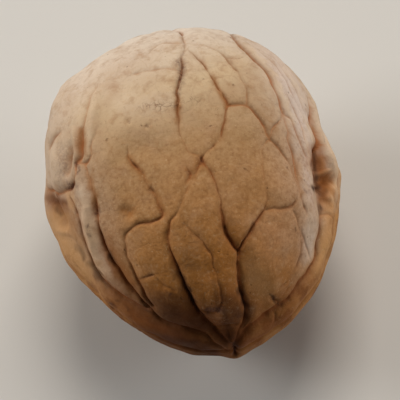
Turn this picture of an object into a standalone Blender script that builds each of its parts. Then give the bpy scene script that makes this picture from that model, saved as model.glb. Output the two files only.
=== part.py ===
"""A whole walnut in its closed shell, grown as one piece: one solid, lying on its rear cheek.

The shape is a radius for every direction out of the nut's centre. A superellipse runs from the outline of
the seam up to the crown of each half. A rounded rim stands along the seam, with a soft crease beside it.
The relief of the shell is added to that: grooves and folds on the side that shows, traced by hand as
points picked on the photograph in its 400 by 400 pixels, and on the hidden side a net of long cells that
runs from stem to tip.

Axes: x across the seam's plane, +Y toward the stem and -Y toward the tip, +Z square to the seam's plane.
The origin is on the resting face, under the middle of the nut. Lengths in the formulas are in
millimetres. """

import math

import bmesh
import bpy
import numpy as np

MM = 0.001

# Driving sizes, in millimetres
SEAM_RADIUS = {
    0: 21.4, 6: 20.9, 13: 20.45, 20: 20.35, 28: 19.65, 43: 18.6, 52: 18.4, 61: 17.8, 76: 17.0, 84: 17.1,
    90: 17.15, 100: 17.3, 108: 18.0, 125: 19.3, 145: 19.75, 165: 20.3, 180: 20.15, -165: 20.05, -145: 19.9,
    -125: 19.1, -108: 18.0, -90: 17.4, -76: 17.15, -61: 17.05, -43: 17.85, -28: 19.1, -14: 20.15, -6: 20.55,
}
RIM_HALF_WIDTH = {0: 3.6, 40: 2.6, 90: 3.2, 140: 3.0, 180: 2.6, -140: 3.0, -90: 3.4, -60: 3.6, -30: 3.6}
FRONT_HALF_HEIGHT = 17.2
REAR_HALF_HEIGHT = 16.6
FULLNESS = 2.4
RIM_HEIGHT = 1.1
RIM_ROUNDNESS = 5
# How much of the rim stands clear of the front cheek, by angle: toward the stem it sinks into the cheek
RIM_SHOWS = {0: 1.0, 60: 1.0, 100: 1.0, 118: 0.7, 135: 0.3, 180: 0.25, -140: 0.15, -116: 0.15, -104: 0.5,
             -94: 0.9, -45: 1.0}
REAR_CREASE_DEPTH = 0.5
CREASE_HALF_WIDTH = 1.0
SUTURE_DEPTH = 0.35
SUTURE_HALF_WIDTH = 0.28
SUTURE_STRAY = 0.15
SUTURE_STRAY_LENGTH = 6
SUTURE_SEED = 21
REST_CUT = 0.2
# The relief is calm round the resting spot: none within the radius, all of it past the fade
CALM_RADIUS = 4.0
CALM_FADE = 3.5
NUT_CENTRE = (0.0, 0.39, REAR_HALF_HEIGHT - REST_CUT)

# How the grooves are cut: the sharp line and the wide soft valley around it, as shares of a groove's
# depth, their widths as shares of the groove's own half width, and how far a line strays from its smooth
# path
LINE_SHARE = 0.50
VALLEY_SHARE = 0.32
LINE_WIDTH = 0.95
VALLEY_WIDTH = 2.3
STRAY = 0.12
STRAY_LENGTH = 2.1
STRAY_SEEDS = (51, 52, 53)
# A groove narrows as it gets shallower, down to this share of its width, and its line fades faster than
# its valley
SHALLOW_WIDTH = 0.70
LINE_FALL_OFF = 1.35
GROOVE_REACH = 5.0
# Points along the crown groove's run over the top to the stem
RUN_ON_POINTS = 9

# Uneven growth of the shell and of its rim: height and wave length in millimetres, and seed
UNEVEN_SHELL = [(0.20, 13, 11), (0.12, 5.5, 12), (0.045, 2.2, 13)]
UNEVEN_RIM = [(0.12, 8, 14), (0.07, 3.0, 15)]
UNEVEN_RIM_HALF_WIDTH = 3.2
WAVE_COUNT = 28
WAVE_SPREAD = (0.75, 1.4)

# Where the photograph was taken from, to lay the traced points on the nut
VIEW_TILT = 24.0
VIEW_ROLL = 15.0
VIEW_DISTANCE = 400.0
PIXELS_PER_MM = 8.25
CENTRE_PIXEL = (193.5, 193.5)
# Along a line of sight the nut is sought from this far before its centre to this far behind, in this many
# steps
SOUGHT_BEFORE = 25
SOUGHT_BEHIND = 5
SOUGHT_STEPS = 301
# Cosines of how far the nut faces the eye: where a traced depth starts to count, and where the hidden
# side starts, each with the span over which it comes in
DEPTH_COUNTS_FROM = 0.50
DEPTH_COUNTS_OVER = 0.25
HIDDEN_FROM = 0.10
HIDDEN_OVER = 0.30

# Net of grooves on the hidden side
NET_SEED = 5
NET_RADIUS = 9.0
NET_SQUEEZE = 0.42
NET_ROWS = 4
NET_COLUMNS = 13
NET_LENGTH = 20
NET_JITTER = 0.32
NET_BEND = 1.1
NET_BENDS = [(9, 41), (11, 42), (10, 43)]
# At the ends of the nut the unrolled net is kept from stretching without end
NET_LEAST_RADIUS = 0.5
NET_LEAST_SLOPE = 0.3
# The net's depth as a share of a millimetre: its mean, how far it varies, wave length and seed of that,
# and limits
NET_DEPTH = 0.62
NET_DEPTH_VARIES = 0.4
NET_DEPTH_WAVES = (10, 31)
NET_DEPTH_LIMITS = (0.1, 1.1)
# How far the net keeps from the seam, and over how much more it comes in
NET_OFF_SEAM = 2.8
NET_OFF_SEAM_OVER = 1.4
NET_LINE_WIDTH = 0.38
NET_VALLEY_WIDTH = 1.2

# Stem scar at the blunt end
SCAR_RADIUS = 1.3
SCAR_DEPTH = 0.6
SCAR_LIP_RADIUS = 1.9
SCAR_LIP_HALF_WIDTH = 0.6
SCAR_LIP_HEIGHT = 0.18

BALL_SUBDIVISIONS = 7
MOST_TRIANGLES = 11400
SAME_POINT = 1e-7
SHARP_EDGE_DEGREES = 60
SHELL_COLOUR = (0.323, 0.171, 0.075, 1.0)
SHELL_ROUGHNESS = 0.6

# Grooves: half width of the line in millimetres, then x, y in pixels of the photograph and depth in
# millimetres
GROOVES = {
    "crown fissure": (0.34, [(181, 30, .6), (184, 42, .35), (184, 51, .3), (181, 58, .45), (182, 64, .55),
                             (182, 71, .65), (180, 78, .7), (179, 86, .65), (177, 93, .6),
                             (178, 101, .55), (178, 114, .5), (179, 127, .35), (184, 142, .3),
                             (190, 152, .3), (197, 157, .45), (201, 161, .8)]),
    "lens right": (0.33, [(186, 47, .2), (194, 54, .4), (202, 61, .55), (208, 70, .55), (214, 81, .55),
                          (220, 91, .6), (227, 105, .65)]),
    "lens low": (0.32, [(227, 105, .65), (225, 114, .5), (223, 125, .55), (221, 136, .6), (215, 145, .5),
                        (208, 150, .3), (202, 158, .6)]),
    "right arch": (0.32, [(184, 43, .2), (198, 44, .3), (208, 46, .35), (218, 50, .4), (226, 55, .5),
                          (231, 62, .45), (237, 70, .45), (241, 78, .3), (245, 87, .3), (247, 97, .45),
                          (247, 106, .5)]),
    "arch bridge": (0.22, [(226, 55, .4), (233, 57, .35), (240, 58, .35), (247, 55, .2)]),
    "long right": (0.34, [(227, 105, .6), (237, 105, .5), (246, 106, .55), (254, 113, .6), (261, 123, .6),
                          (269, 136, .55), (277, 146, .45), (284, 154, .4), (290, 165, .35),
                          (295, 176, .3), (298, 187, .25), (301, 198, .3)]),
    "shoulder valley": (0.50, [(227, 29, .5), (235, 38, .6), (242, 45, .7), (250, 54, .8), (259, 64, .7),
                               (268, 74, .7), (273, 85, .6), (277, 96, .6), (281, 106, .6),
                               (284, 113, .5)]),
    "shoulder branch": (0.36, [(284, 113, .4), (290, 117, .45), (294, 125, .5), (299, 135, .5),
                               (303, 147, .45), (307, 156, .35)]),
    "flank wrinkle": (0.36, [(252, 44, .1), (268, 58, .3), (282, 74, .4), (293, 92, .4),
                             (300, 108, .25)]),
    "flank furrow": (0.36, [(276, 62, .15), (289, 78, .35), (299, 94, .4), (305, 112, .25)]),
    "flank fold": (0.36, [(285, 92, .2), (294, 107, .4), (301, 122, .45), (306, 138, .35),
                          (309, 152, .2)]),
    "shoulder link": (0.30, [(282, 112, .35), (280, 120, .35), (275, 125, .5), (271, 133, .4),
                             (270, 137, .4)]),
    "shoulder fork": (0.42, [(282, 114, .4), (285, 121, .4), (287, 129, .4), (288, 139, .4),
                             (290, 147, .45), (294, 155, .5), (295, 163, .5), (296, 172, .5),
                             (298, 180, .4), (299, 190, .25)]),
    "right plate side": (0.28, [(268, 138, .4), (264, 146, .2), (263, 155, .25), (263, 168, .3),
                                (264, 180, .3), (265, 190, .3), (266, 200, .35), (264, 210, .5)]),
    "right plate foot": (0.30, [(264, 210, .4), (276, 208, .5), (288, 207, .5), (294, 203, .5),
                                (296, 199, .3)]),
    "right branch": (0.36, [(264, 210, .5), (257, 219, .7), (251, 228, .8), (245, 238, .7),
                            (239, 250, .8)]),
    "centre right": (0.36, [(201, 160, .8), (206, 166, .6), (211, 173, .5), (215, 181, .5),
                            (218, 190, .4), (220, 200, .4), (221, 210, .5), (223, 222, .7),
                            (225, 232, .9), (231, 241, .9), (235, 248, .9), (239, 252, .9)]),
    "tip fissure": (0.42, [(239, 252, .9), (238, 262, .7), (238, 273, .7), (239, 285, .8),
                           (242, 296, 1.1), (245, 305, 1.0), (246, 315, .9), (245, 325, .7),
                           (240, 336, .6), (236, 346, .8), (236, 357, .9)]),
    "centre left": (0.38, [(201, 162, .6), (198, 168, .45), (195, 174, .3), (191, 182, .25),
                           (187, 190, .3), (184, 197, .25), (180, 207, .2), (175, 216, .3),
                           (171, 223, .5), (169, 233, .5), (169, 246, .5), (173, 257, .7), (178, 269, .9),
                           (184, 283, 1.0), (190, 295, 1.2), (196, 308, 1.2), (202, 317, 1.0),
                           (209, 324, .8), (217, 332, .7), (226, 342, .6), (234, 350, .6)]),
    "node pit": (0.34, [(186, 166, .2), (188, 171, .4), (190, 176, .6), (187, 182, .3), (184, 190, .1)]),
    "finger": (0.34, [(185, 225, .2), (191, 230, .3), (200, 239, .4), (207, 248, .45), (212, 259, .4),
                      (216, 272, .3), (219, 285, .35), (221, 297, .45), (221, 308, .5), (218, 312, .5),
                      (207, 311, .5), (199, 310, .3)]),
    "bracket top": (0.22, [(127, 146, .2), (127, 153, .35), (130, 160, .5)]),
    "bracket": (0.36, [(128, 158, .2), (133, 163, .7), (139, 170, .5), (143, 176, .3), (148, 185, .3),
                       (151, 190, .45), (156, 198, .35), (160, 205, .5), (163, 213, .5), (160, 220, .5),
                       (152, 223, .5), (141, 225, .5), (131, 229, .35), (126, 235, .35), (126, 245, .35),
                       (128, 256, .4), (133, 270, .5), (139, 281, .7), (146, 294, .8), (154, 305, .8)]),
    "inner crease": (0.36, [(84, 163, .5), (88, 172, .4), (92, 182, .4), (95, 195, .4), (97, 211, .7),
                            (99, 221, .5), (102, 232, .8), (106, 245, .9), (112, 258, .9), (120, 271, .9),
                            (129, 283, .9), (139, 294, 1.0), (149, 306, 1.0), (160, 317, 1.0),
                            (174, 323, 1.0), (190, 328, .8), (203, 335, .7), (216, 344, .6),
                            (228, 352, .5)]),
    "outer crease": (0.38, [(70, 198, .4), (76, 210, .7), (80, 222, .5), (81, 232, .5), (86, 248, .8),
                            (94, 266, .8), (103, 279, .9), (114, 290, .9), (125, 299, .9),
                            (135, 304, 1.0), (147, 309, .9)]),
    "block foot": (0.26, [(141, 279, .3), (147, 277, .4), (154, 275, .3)]),
    "block line": (0.24, [(157, 279, .2), (164, 285, .35), (175, 291, .3)]),
    "low seam": (0.24, [(150, 333, .2), (165, 341, .4), (180, 346, .45), (196, 350, .4), (210, 353, .2)]),
    "left fold": (0.46, [(97, 84, .2), (92, 95, .3), (88, 107, .35), (85, 118, .4), (82, 128, .55),
                         (81, 138, .7), (81, 148, .7), (81, 157, .6), (78, 164, .7), (78, 174, .5)]),
    "left fold side": (0.34, [(98, 128, .1), (95, 137, .25), (92, 147, .35), (91, 157, .35),
                              (86, 163, .6), (78, 164, .7)]),
    "boss brow": (0.40, [(61, 132, .3), (56, 137, .6), (52, 144, .6), (49, 150, .3)]),
    "boss foot": (0.42, [(84, 164, .3), (79, 165, .4), (78, 173, .4), (75, 181, .5), (71, 187, .8),
                         (66, 191, .5), (58, 194, .6), (52, 191, .6), (46, 187, .4)]),
    "left arch": (0.34, [(148, 60, .1), (149, 52, .2), (156, 45, .35), (165, 41.5, .5), (175, 41, .45),
                         (184, 43, .3)]),
    "left brow": (0.34, [(132, 76, .1), (136, 74, .4), (144, 72, .3), (156, 69, .3), (169, 67, .35),
                         (178, 69, .4)]),
    "block side": (0.26, [(292, 209, .2), (295, 217, .3), (298, 230, .3), (300, 243, .3), (299, 256, .35),
                          (296, 264, .4), (293, 271, .3), (288, 280, .2)]),
    "edge side": (0.28, [(301, 194, .2), (303, 205, .4), (307, 213, .3), (303, 222, .1), (300, 231, .3),
                         (304, 240, .35), (307, 250, .35), (308, 258, .2)]),
    "right crease": (0.46, [(307, 96, .2), (310, 106, .5), (311, 115, .8), (311, 121, 1.0),
                            (313, 128, 1.2), (315, 134, 1.2), (317, 141, 1.1), (317, 148, 1.2),
                            (315, 154, 1.4), (315, 161, 1.6), (315, 170, 1.7), (316, 178, 1.7),
                            (317, 186, 1.7), (319, 193, 1.6), (320, 200, 1.5), (321, 208, 1.3),
                            (321, 216, 1.0), (320, 232, .7), (317, 245, .7), (315, 258, .7),
                            (309, 270, .8), (302, 278, .8), (295, 288, .9), (288, 300, 1.0),
                            (281, 306, 1.0), (272, 313, 1.0), (261, 321, 1.0), (251, 328, .9),
                            (244, 336, .7), (238, 346, .5)]),
    "rim valley": (0.36, [(320, 133, .2), (321, 141, .5), (323, 149, .5), (327, 157, .3),
                          (331, 163, .1)]),
    "hollow line": (0.24, [(318, 171, .2), (322, 170, .35), (328, 169, .15)]),
    "rim arc": (0.22, [(321, 219, .3), (325, 215, .4), (329, 215, .3), (332, 219, .2)]),
    "rim crack": (0.20, [(333, 207, .1), (334, 216, .4), (333, 226, .5), (333, 236, .5), (331, 246, .35),
                         (327, 255, .1)]),
    "low nick": (0.28, [(271, 296, .5), (276, 302, .6), (282, 305, .5)]),
    "low scratch": (0.24, [(278, 288, .4), (284, 282, .4), (289, 277, .1)]),
    "low scrape": (0.20, [(281, 296, .3), (286, 289, .4), (290, 283, .2)]),
    "rim nick": (0.28, [(277, 311, .3), (276, 317, .4), (275, 322, .2)]),
    "tip crack": (0.24, [(203, 320, .2), (212, 326, .5), (219, 329, .5), (227, 327, .4), (237, 327, .3)]),
    "tip split": (0.22, [(213, 327, .3), (217, 333, .5), (221, 339, .4)]),
    "tip line": (0.20, [(227, 328, .2), (229, 336, .4), (232, 343, .3)]),
    "tip streak": (0.20, [(252, 321, .2), (247, 329, .4), (242, 337, .3)]),
}

# Folds: half width in millimetres, then x, y in pixels of the photograph and height in millimetres, below
# 0 a hollow
FOLDS = {
    "crown hollow": (1.5, [(127, 152, -.35), (140, 148, -.45), (158, 150, -.3)]),
    "boss dimple": (0.55, [(69, 146, -.3), (68, 158, -.7), (67, 172, -.5)]),
    "boss": (1.5, [(58, 145, .4), (57, 160, .6), (59, 180, .6)]),
    "boss ridge": (0.5, [(73, 132, .3), (75, 145, .45), (75, 160, .4), (76, 178, .3)]),
    "left shoulder": (3.0, [(66, 88, .5), (60, 105, .9), (56, 118, .5)]),
    "fold bank": (0.8, [(101, 88, .1), (98, 98, .3), (94, 110, .35), (91, 124, .3), (91, 138, .2)]),
    "strap": (0.8, [(79, 168, .2), (79, 185, .4), (84, 205, .5), (88, 230, .5), (96, 255, .5),
                    (110, 275, .5), (125, 290, .3)]),
    "right ridge": (0.50, [(314, 104, .1), (315, 116, .25), (316, 126, .4), (318, 136, .6),
                           (320, 145, .6), (323, 154, .8), (327, 163, .7), (330, 168, .3)]),
    "right rim swell": (1.8, [(330, 150, .2), (336, 162, .5), (338, 174, .7), (339, 187, .6),
                              (337, 205, .3)]),
    "left rim fold": (0.45, [(57, 229, .05), (62, 231, .3), (69, 232, .35), (74, 237, .15)]),
    "left hollow": (0.9, [(53, 198, -.5), (58, 208, -1.0), (64, 220, -.5)]),
    "right hollow": (1.0, [(318, 158, -1.1), (319, 166, -1.3), (320, 177, -1.3), (321, 187, -1.3),
                           (322, 197, -1.0), (322, 207, -.7)]),
    "hollow corner": (0.8, [(323, 182, -.5), (328, 179, -1.1), (332, 179, -.8)]),
    "hollow ridge": (0.55, [(318, 175, .2), (323, 173, .45), (328, 172, .3)]),
    "hollow fold": (0.5, [(321, 194, .2), (325, 196, .5), (330, 199, .2)]),
    "dimple": (0.8, [(126, 210, -.35), (129, 212, -.4)]),
    "crown pit": (0.3, [(129, 122, -.25), (130, 123, -.25)]),
    "small pit": (0.25, [(147.5, 127, -.2), (148.5, 127, -.2)]),
    "tip hollow": (1.5, [(205, 325, -.4), (220, 332, -.7), (236, 332, -.6)]),
}


def unit(v):
    return v / np.linalg.norm(v, axis=-1, keepdims=True)


def fade(x):
    """0 to 1 as x goes from 0 to 1, level at both ends."""
    x = np.clip(x, 0, 1)
    return x * x * (3 - 2 * x)


def hermite(knots, values, at):
    """Smooth curve through the values at the knots, its slope at each taken across both neighbours."""
    slope = np.gradient(values, knots, axis=0)
    i = np.clip(np.searchsorted(knots, at, side="right") - 1, 0, len(knots) - 2)
    span = knots[i + 1] - knots[i]
    t = (at - knots[i]) / span
    if values.ndim > 1:
        t = t[:, None]
        span = span[:, None]
    start = (2 * t**3 - 3 * t**2 + 1) * values[i] + (t**3 - 2 * t**2 + t) * span * slope[i]
    return start + (3 * t**2 - 2 * t**3) * values[i + 1] + (t**3 - t**2) * span * slope[i + 1]


def round_the_seam(sizes, degrees):
    """A size given at angles round the seam, from 0 at the tip, at any other angle."""
    angles = np.array(sorted(sizes), float)
    values = np.array([sizes[a] for a in sorted(sizes)], float)
    angles = np.concatenate([angles[-3:] - 360, angles, angles[:3] + 360])
    values = np.concatenate([values[-3:], values, values[:3]])
    return hermite(angles, values, degrees)


def plain_radius(d):
    """Distance from the centre to the smooth nut, without its relief, along the unit directions d."""
    degrees = np.degrees(np.arctan2(d[..., 0], -d[..., 1]))
    rim_height = RIM_HEIGHT * np.where(d[..., 2] > 0, round_the_seam(RIM_SHOWS, degrees), 1.0)
    seam = round_the_seam(SEAM_RADIUS, degrees) - rim_height
    rim_half = round_the_seam(RIM_HALF_WIDTH, degrees)
    half_height = np.where(d[..., 2] > 0, FRONT_HALF_HEIGHT, REAR_HALF_HEIGHT)
    flat = np.hypot(d[..., 0], d[..., 1])
    r = ((flat / seam) ** FULLNESS + (np.abs(d[..., 2]) / half_height) ** FULLNESS) ** (-1 / FULLNESS)
    height = np.abs(r * d[..., 2])
    rim = rim_height / (1 + (height / rim_half) ** RIM_ROUNDNESS)
    crease = np.exp(-((height - rim_half - CREASE_HALF_WIDTH) / CREASE_HALF_WIDTH) ** 2)
    return r + rim - REAR_CREASE_DEPTH * crease * (d[..., 2] < 0)


def view_axes():
    """Where the photograph's eye stands, and the picture's right, up and forward, in the nut's axes."""
    tilt, roll = np.radians([VIEW_TILT, VIEW_ROLL])
    toward = np.array([0.0, -np.sin(tilt), np.cos(tilt)])
    level = np.array([1.0, 0.0, 0.0])
    rise = np.array([0.0, np.cos(tilt), np.sin(tilt)])
    right = np.cos(roll) * level - np.sin(roll) * rise
    up = np.cos(roll) * rise + np.sin(roll) * level
    return toward * VIEW_DISTANCE, right, up, -toward


def onto_the_nut(x, y, lift):
    """Points of the smooth nut that, once raised by lift, lie on the lines of sight through the pixels x,
    y, or at its edge nearest to them. The lift counts less where the nut turns away from the eye."""
    eye, right, up, forward = view_axes()
    focal = PIXELS_PER_MM * VIEW_DISTANCE
    ray = unit(
        forward
        + np.multiply.outer((x - CENTRE_PIXEL[0]) / focal, right)
        + np.multiply.outer((CENTRE_PIXEL[1] - y) / focal, up)
    )
    reach = VIEW_DISTANCE + np.linspace(-SOUGHT_BEFORE, SOUGHT_BEHIND, SOUGHT_STEPS)
    p = eye + ray[:, None, :] * reach[None, :, None]
    size = np.linalg.norm(p, axis=-1)
    smooth_gap = size - plain_radius(p / size[..., None])
    raised = np.zeros(len(p))
    for _ in range(2):
        gap = smooth_gap - raised[:, None]
        inside = gap <= 0
        first = np.where(inside.any(axis=1), inside.argmax(axis=1), gap.argmin(axis=1))
        d = unit(p[np.arange(len(p)), first])
        raised = lift * fade((-(d @ forward) - DEPTH_COUNTS_FROM) / DEPTH_COUNTS_OVER)
    return d * plain_radius(d)[:, None]


def traced(points, rise, spacing=3.0):
    """A traced line made smooth and laid on the nut, with its depth or height at each of its points. The
    surface there stands rise times that value above the smooth nut."""
    picked = np.array(points, float)
    run = np.concatenate([[0], np.cumsum(np.hypot(*np.diff(picked[:, :2], axis=0).T))])
    at = np.linspace(0, run[-1], max(2, int(run[-1] / spacing) + 1))
    line = hermite(run, picked, at)
    return onto_the_nut(line[:, 0], line[:, 1], rise * line[:, 2]), line[:, 2]


def beside(p, line, value, reach):
    """Which points p may be within reach of the line, each one's way to it, and the line's value
    there."""
    middle = line.mean(axis=0)
    far = np.linalg.norm(line - middle, axis=1).max() + reach
    near = np.flatnonzero(np.linalg.norm(p - middle, axis=1) < far)
    piece = np.diff(line, axis=0)
    from_start = p[near][:, None, :] - line[None, :-1]
    t = np.clip((from_start * piece).sum(-1) / np.maximum((piece * piece).sum(-1), 1e-9), 0, 1)
    way = t[..., None] * piece - from_start
    k = (way * way).sum(-1).argmin(axis=1)
    row = np.arange(len(near))
    return near, way[row, k], value[k] + t[row, k] * (value[k + 1] - value[k])


def waves(p, length, seed):
    """Smooth uneven height, mostly within -1 to 1: a sum of waves of about this length in seeded
    directions."""
    rng = np.random.default_rng(seed)
    way = unit(rng.normal(size=(WAVE_COUNT, 3)))
    way *= 2 * np.pi / (length * rng.uniform(*WAVE_SPREAD, (WAVE_COUNT, 1)))
    total = np.cos(p @ way.T + rng.uniform(0, 2 * np.pi, WAVE_COUNT)).sum(axis=1)
    return total / np.sqrt(2 * WAVE_COUNT)


def net_gap(p):
    """Distance in millimetres from points p to the nearest border of a net of long cells from stem to
    tip.

    The nut is unrolled onto a short cylinder, bent a little by waves, and each point there belongs to the
    nearest of the cells' seeds. The distance to a border is that to the plane midway between two seeds,
    turned back into millimetres on the nut. """
    rng = np.random.default_rng(NET_SEED)
    around = np.arctan2(p[:, 0], p[:, 2])
    out = np.maximum(np.hypot(p[:, 0], p[:, 2]), NET_LEAST_RADIUS)
    bend = NET_BEND * np.stack([waves(p, length, seed) for length, seed in NET_BENDS], -1)
    q = np.stack([NET_RADIUS * np.sin(around), NET_SQUEEZE * p[:, 1], NET_RADIUS * np.cos(around)], -1) + bend
    row, column = np.meshgrid(np.arange(NET_ROWS), np.arange(NET_COLUMNS), indexing="ij")
    jitter = rng.uniform(-NET_JITTER, NET_JITTER, (2,) + row.shape)
    along = ((row + 0.5 + jitter[0]) / NET_ROWS - 0.5) * NET_LENGTH
    angle = (column + 0.5 * (row % 2) + jitter[1]) / NET_COLUMNS * 2 * np.pi
    seeds = np.stack([NET_RADIUS * np.sin(angle), along, NET_RADIUS * np.cos(angle)], -1).reshape(-1, 3)
    far = ((q[:, None, :] - seeds[None]) ** 2).sum(-1)
    own = far.argmin(axis=1)
    index = np.arange(len(p))
    apart = seeds[None] - seeds[own][:, None, :]
    span = np.maximum(np.linalg.norm(apart, axis=-1), 1e-9)
    gap = (far - far[index, own][:, None]) / (2 * span)
    gap[index, own] = np.inf
    other = gap.argmin(axis=1)
    across = apart[index, other] / span[index, other][:, None]
    turn = (across[:, 0] * np.cos(around) - across[:, 2] * np.sin(around)) * NET_RADIUS / out
    slope = np.hypot(turn, NET_SQUEEZE * across[:, 1])
    return gap[index, other] / np.maximum(slope, NET_LEAST_SLOPE)


def groove_lines():
    """Each groove's half width, line and depth. The first, the crown's, also runs on over the top to the
    stem. What was traced is the dark bank, halfway down."""
    halfway = -(LINE_SHARE + VALLEY_SHARE) / 2
    lines = [(half, *traced(points, halfway)) for half, points in GROOVES.values()]
    half, crown, depth = lines[0]
    on = unit(np.linspace(crown[0], [0, SEAM_RADIUS[180], 0], RUN_ON_POINTS))
    return lines + [(half, on * plain_radius(on)[:, None], np.full(RUN_ON_POINTS, depth[0]))]


def turned_away(p):
    """0 where the photograph shows the nut, 1 well round its far side, fading between."""
    facing = (unit(p) * unit(view_axes()[0] - p)).sum(-1)
    return fade((HIDDEN_FROM - facing) / HIDDEN_OVER)


def grooves(p):
    """Depth at points p of the grooves' sharp lines, and of the wide valleys round them."""
    line_cut = np.zeros(len(p))
    valley = np.zeros(len(p))
    strayed = p + STRAY * np.stack([waves(p, STRAY_LENGTH, seed) for seed in STRAY_SEEDS], -1)
    for half, line, depth in groove_lines():
        near, way, deep = beside(strayed, line, depth, GROOVE_REACH)
        gap = np.linalg.norm(way, axis=-1)
        wide = half * (SHALLOW_WIDTH + (1 - SHALLOW_WIDTH) * deep)
        sharp = deep**LINE_FALL_OFF
        line_cut[near] = np.maximum(line_cut[near], sharp * np.exp(-((gap / (LINE_WIDTH * wide)) ** 2)))
        valley[near] = np.maximum(valley[near], deep * np.exp(-((gap / (VALLEY_WIDTH * wide)) ** 2)))
    away = turned_away(p)
    hidden = np.flatnonzero(away > 0)
    h = p[hidden]
    gap = net_gap(h)
    off_the_rim = np.clip((np.abs(h[:, 2]) - NET_OFF_SEAM) / NET_OFF_SEAM_OVER, 0, 1)
    deep = np.clip(NET_DEPTH + NET_DEPTH_VARIES * waves(h, *NET_DEPTH_WAVES), *NET_DEPTH_LIMITS)
    deep *= off_the_rim * away[hidden]
    line_cut[hidden] = np.maximum(line_cut[hidden], deep * np.exp(-((gap / NET_LINE_WIDTH) ** 2)))
    valley[hidden] = np.maximum(valley[hidden], deep * np.exp(-((gap / NET_VALLEY_WIDTH) ** 2)))
    return line_cut, valley


def suture(p):
    """Depth at points p of the fine seam that runs a little unevenly along the middle of the rim."""
    off = p[:, 2] + SUTURE_STRAY * waves(p, SUTURE_STRAY_LENGTH, SUTURE_SEED)
    return SUTURE_DEPTH * np.exp(-((off / SUTURE_HALF_WIDTH) ** 2))


def relief_left(p):
    """The share of the relief that is left at points p: it is calm round the resting spot."""
    return np.where(p[:, 2] < 0, fade((np.hypot(p[:, 0], p[:, 1]) - CALM_RADIUS) / CALM_FADE), 1)


def swelling(p):
    """Height of all that isn't a groove: folds, uneven growth, the rim's own swelling, and the stem
    scar."""
    high = sum(size * waves(p, length, seed) for size, length, seed in UNEVEN_SHELL)
    for half, points in FOLDS.values():
        line, height = traced(points, 1.0)
        near, way, value = beside(p, line, height, 3 * half)
        high[near] += value * np.exp(-((way / half) ** 2).sum(-1))
    rim = sum(size * waves(p, length, seed) for size, length, seed in UNEVEN_RIM)
    high += rim / (1 + (p[:, 2] / UNEVEN_RIM_HALF_WIDTH) ** 4)
    from_stem = np.linalg.norm(p - np.array([0, SEAM_RADIUS[180], 0]), axis=1)
    high += SCAR_LIP_HEIGHT * np.exp(-(((from_stem - SCAR_LIP_RADIUS) / SCAR_LIP_HALF_WIDTH) ** 2))
    return high - SCAR_DEPTH * np.exp(-((from_stem / SCAR_RADIUS) ** 4))


def shell_points(d):
    """Points of the finished shell along the unit directions d, in millimetres from the nut's centre."""
    p = d * plain_radius(d)[:, None]
    line_cut, valley = grooves(p)
    height = swelling(p) - LINE_SHARE * line_cut - VALLEY_SHARE * valley - suture(p)
    return p + d * (height * relief_left(p))[:, None]


def clear_scene():
    for old in list(bpy.data.objects):
        bpy.data.objects.remove(old, do_unlink=True)


def shell_material():
    material = bpy.data.materials.new("walnut shell")
    material.use_nodes = True
    shader = material.node_tree.nodes["Principled BSDF"]
    shader.inputs["Base Color"].default_value = SHELL_COLOUR
    shader.inputs["Roughness"].default_value = SHELL_ROUGHNESS
    shader.inputs["Metallic"].default_value = 0.0
    material.diffuse_color = SHELL_COLOUR
    return material


def build_shell(collection):
    """A ball pushed out to the shell's shape, made coarser where it is smooth, then cut flat where it
    rests."""
    mesh = bpy.data.meshes.new("walnut_shell")
    bm = bmesh.new()
    bmesh.ops.create_icosphere(bm, subdivisions=BALL_SUBDIVISIONS, radius=1.0)
    bm.to_mesh(mesh)
    bm.free()
    directions = np.empty(len(mesh.vertices) * 3, np.float32)
    mesh.vertices.foreach_get("co", directions)
    points = shell_points(unit(directions.reshape(-1, 3).astype(float)))
    mesh.vertices.foreach_set("co", ((points + NUT_CENTRE) * MM).astype(np.float32).ravel())
    mesh.update()

    shell = bpy.data.objects.new("walnut_shell", mesh)
    collection.objects.link(shell)
    coarser = shell.modifiers.new("coarser", "DECIMATE")
    coarser.decimate_type = "COLLAPSE"
    coarser.ratio = MOST_TRIANGLES / len(mesh.polygons)
    coarser.use_collapse_triangulate = True
    depsgraph = bpy.context.evaluated_depsgraph_get()
    coarse = bpy.data.meshes.new_from_object(shell.evaluated_get(depsgraph), depsgraph=depsgraph)
    shell.modifiers.clear()
    shell.data = coarse
    bpy.data.meshes.remove(mesh)
    coarse.name = "walnut_shell"

    bm = bmesh.new()
    bm.from_mesh(coarse)
    everything = bm.verts[:] + bm.edges[:] + bm.faces[:]
    bmesh.ops.bisect_plane(bm, geom=everything, dist=SAME_POINT, plane_co=(0, 0, 0), plane_no=(0, 0, 1),
                           clear_inner=True)
    cut_edges = [edge for edge in bm.edges if edge.is_boundary]
    for vertex in {v for edge in cut_edges for v in edge.verts}:
        vertex.co.z = 0.0
    bmesh.ops.holes_fill(bm, edges=cut_edges, sides=0)
    bmesh.ops.triangulate(bm, faces=bm.faces[:])
    bmesh.ops.recalc_face_normals(bm, faces=bm.faces[:])
    bm.to_mesh(coarse)
    bm.free()
    coarse.shade_smooth()
    coarse.set_sharp_from_angle(angle=math.radians(SHARP_EDGE_DEGREES))
    coarse.materials.append(shell_material())
    return shell


def main():
    clear_scene()
    collection = bpy.data.collections.new("walnut")
    bpy.context.scene.collection.children.link(collection)
    build_shell(collection)


main()
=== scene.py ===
"""The finished walnut: its whole shell as one fine surface, with its material, a pale floor and soft
studio light.

The shape is a radius for every direction out of the nut's centre, worked out on a grid wrapped round the
nut. A superellipse runs from the seam's outline up to the crown of each half, with a rounded rim along
the seam. Grooves and folds that show in the photograph were traced as points on its 400 by 400
pixels, and are laid on the nut along the photograph's lines of sight. A net of long cells covers the side
that is turned away.

Axes: x across the seam's plane, +Y toward the stem, -Y toward the tip, +Z square to the seam's plane.
Lengths in the formulas are in millimetres."""

import bpy
import numpy as np
from mathutils import Matrix, Vector


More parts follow.
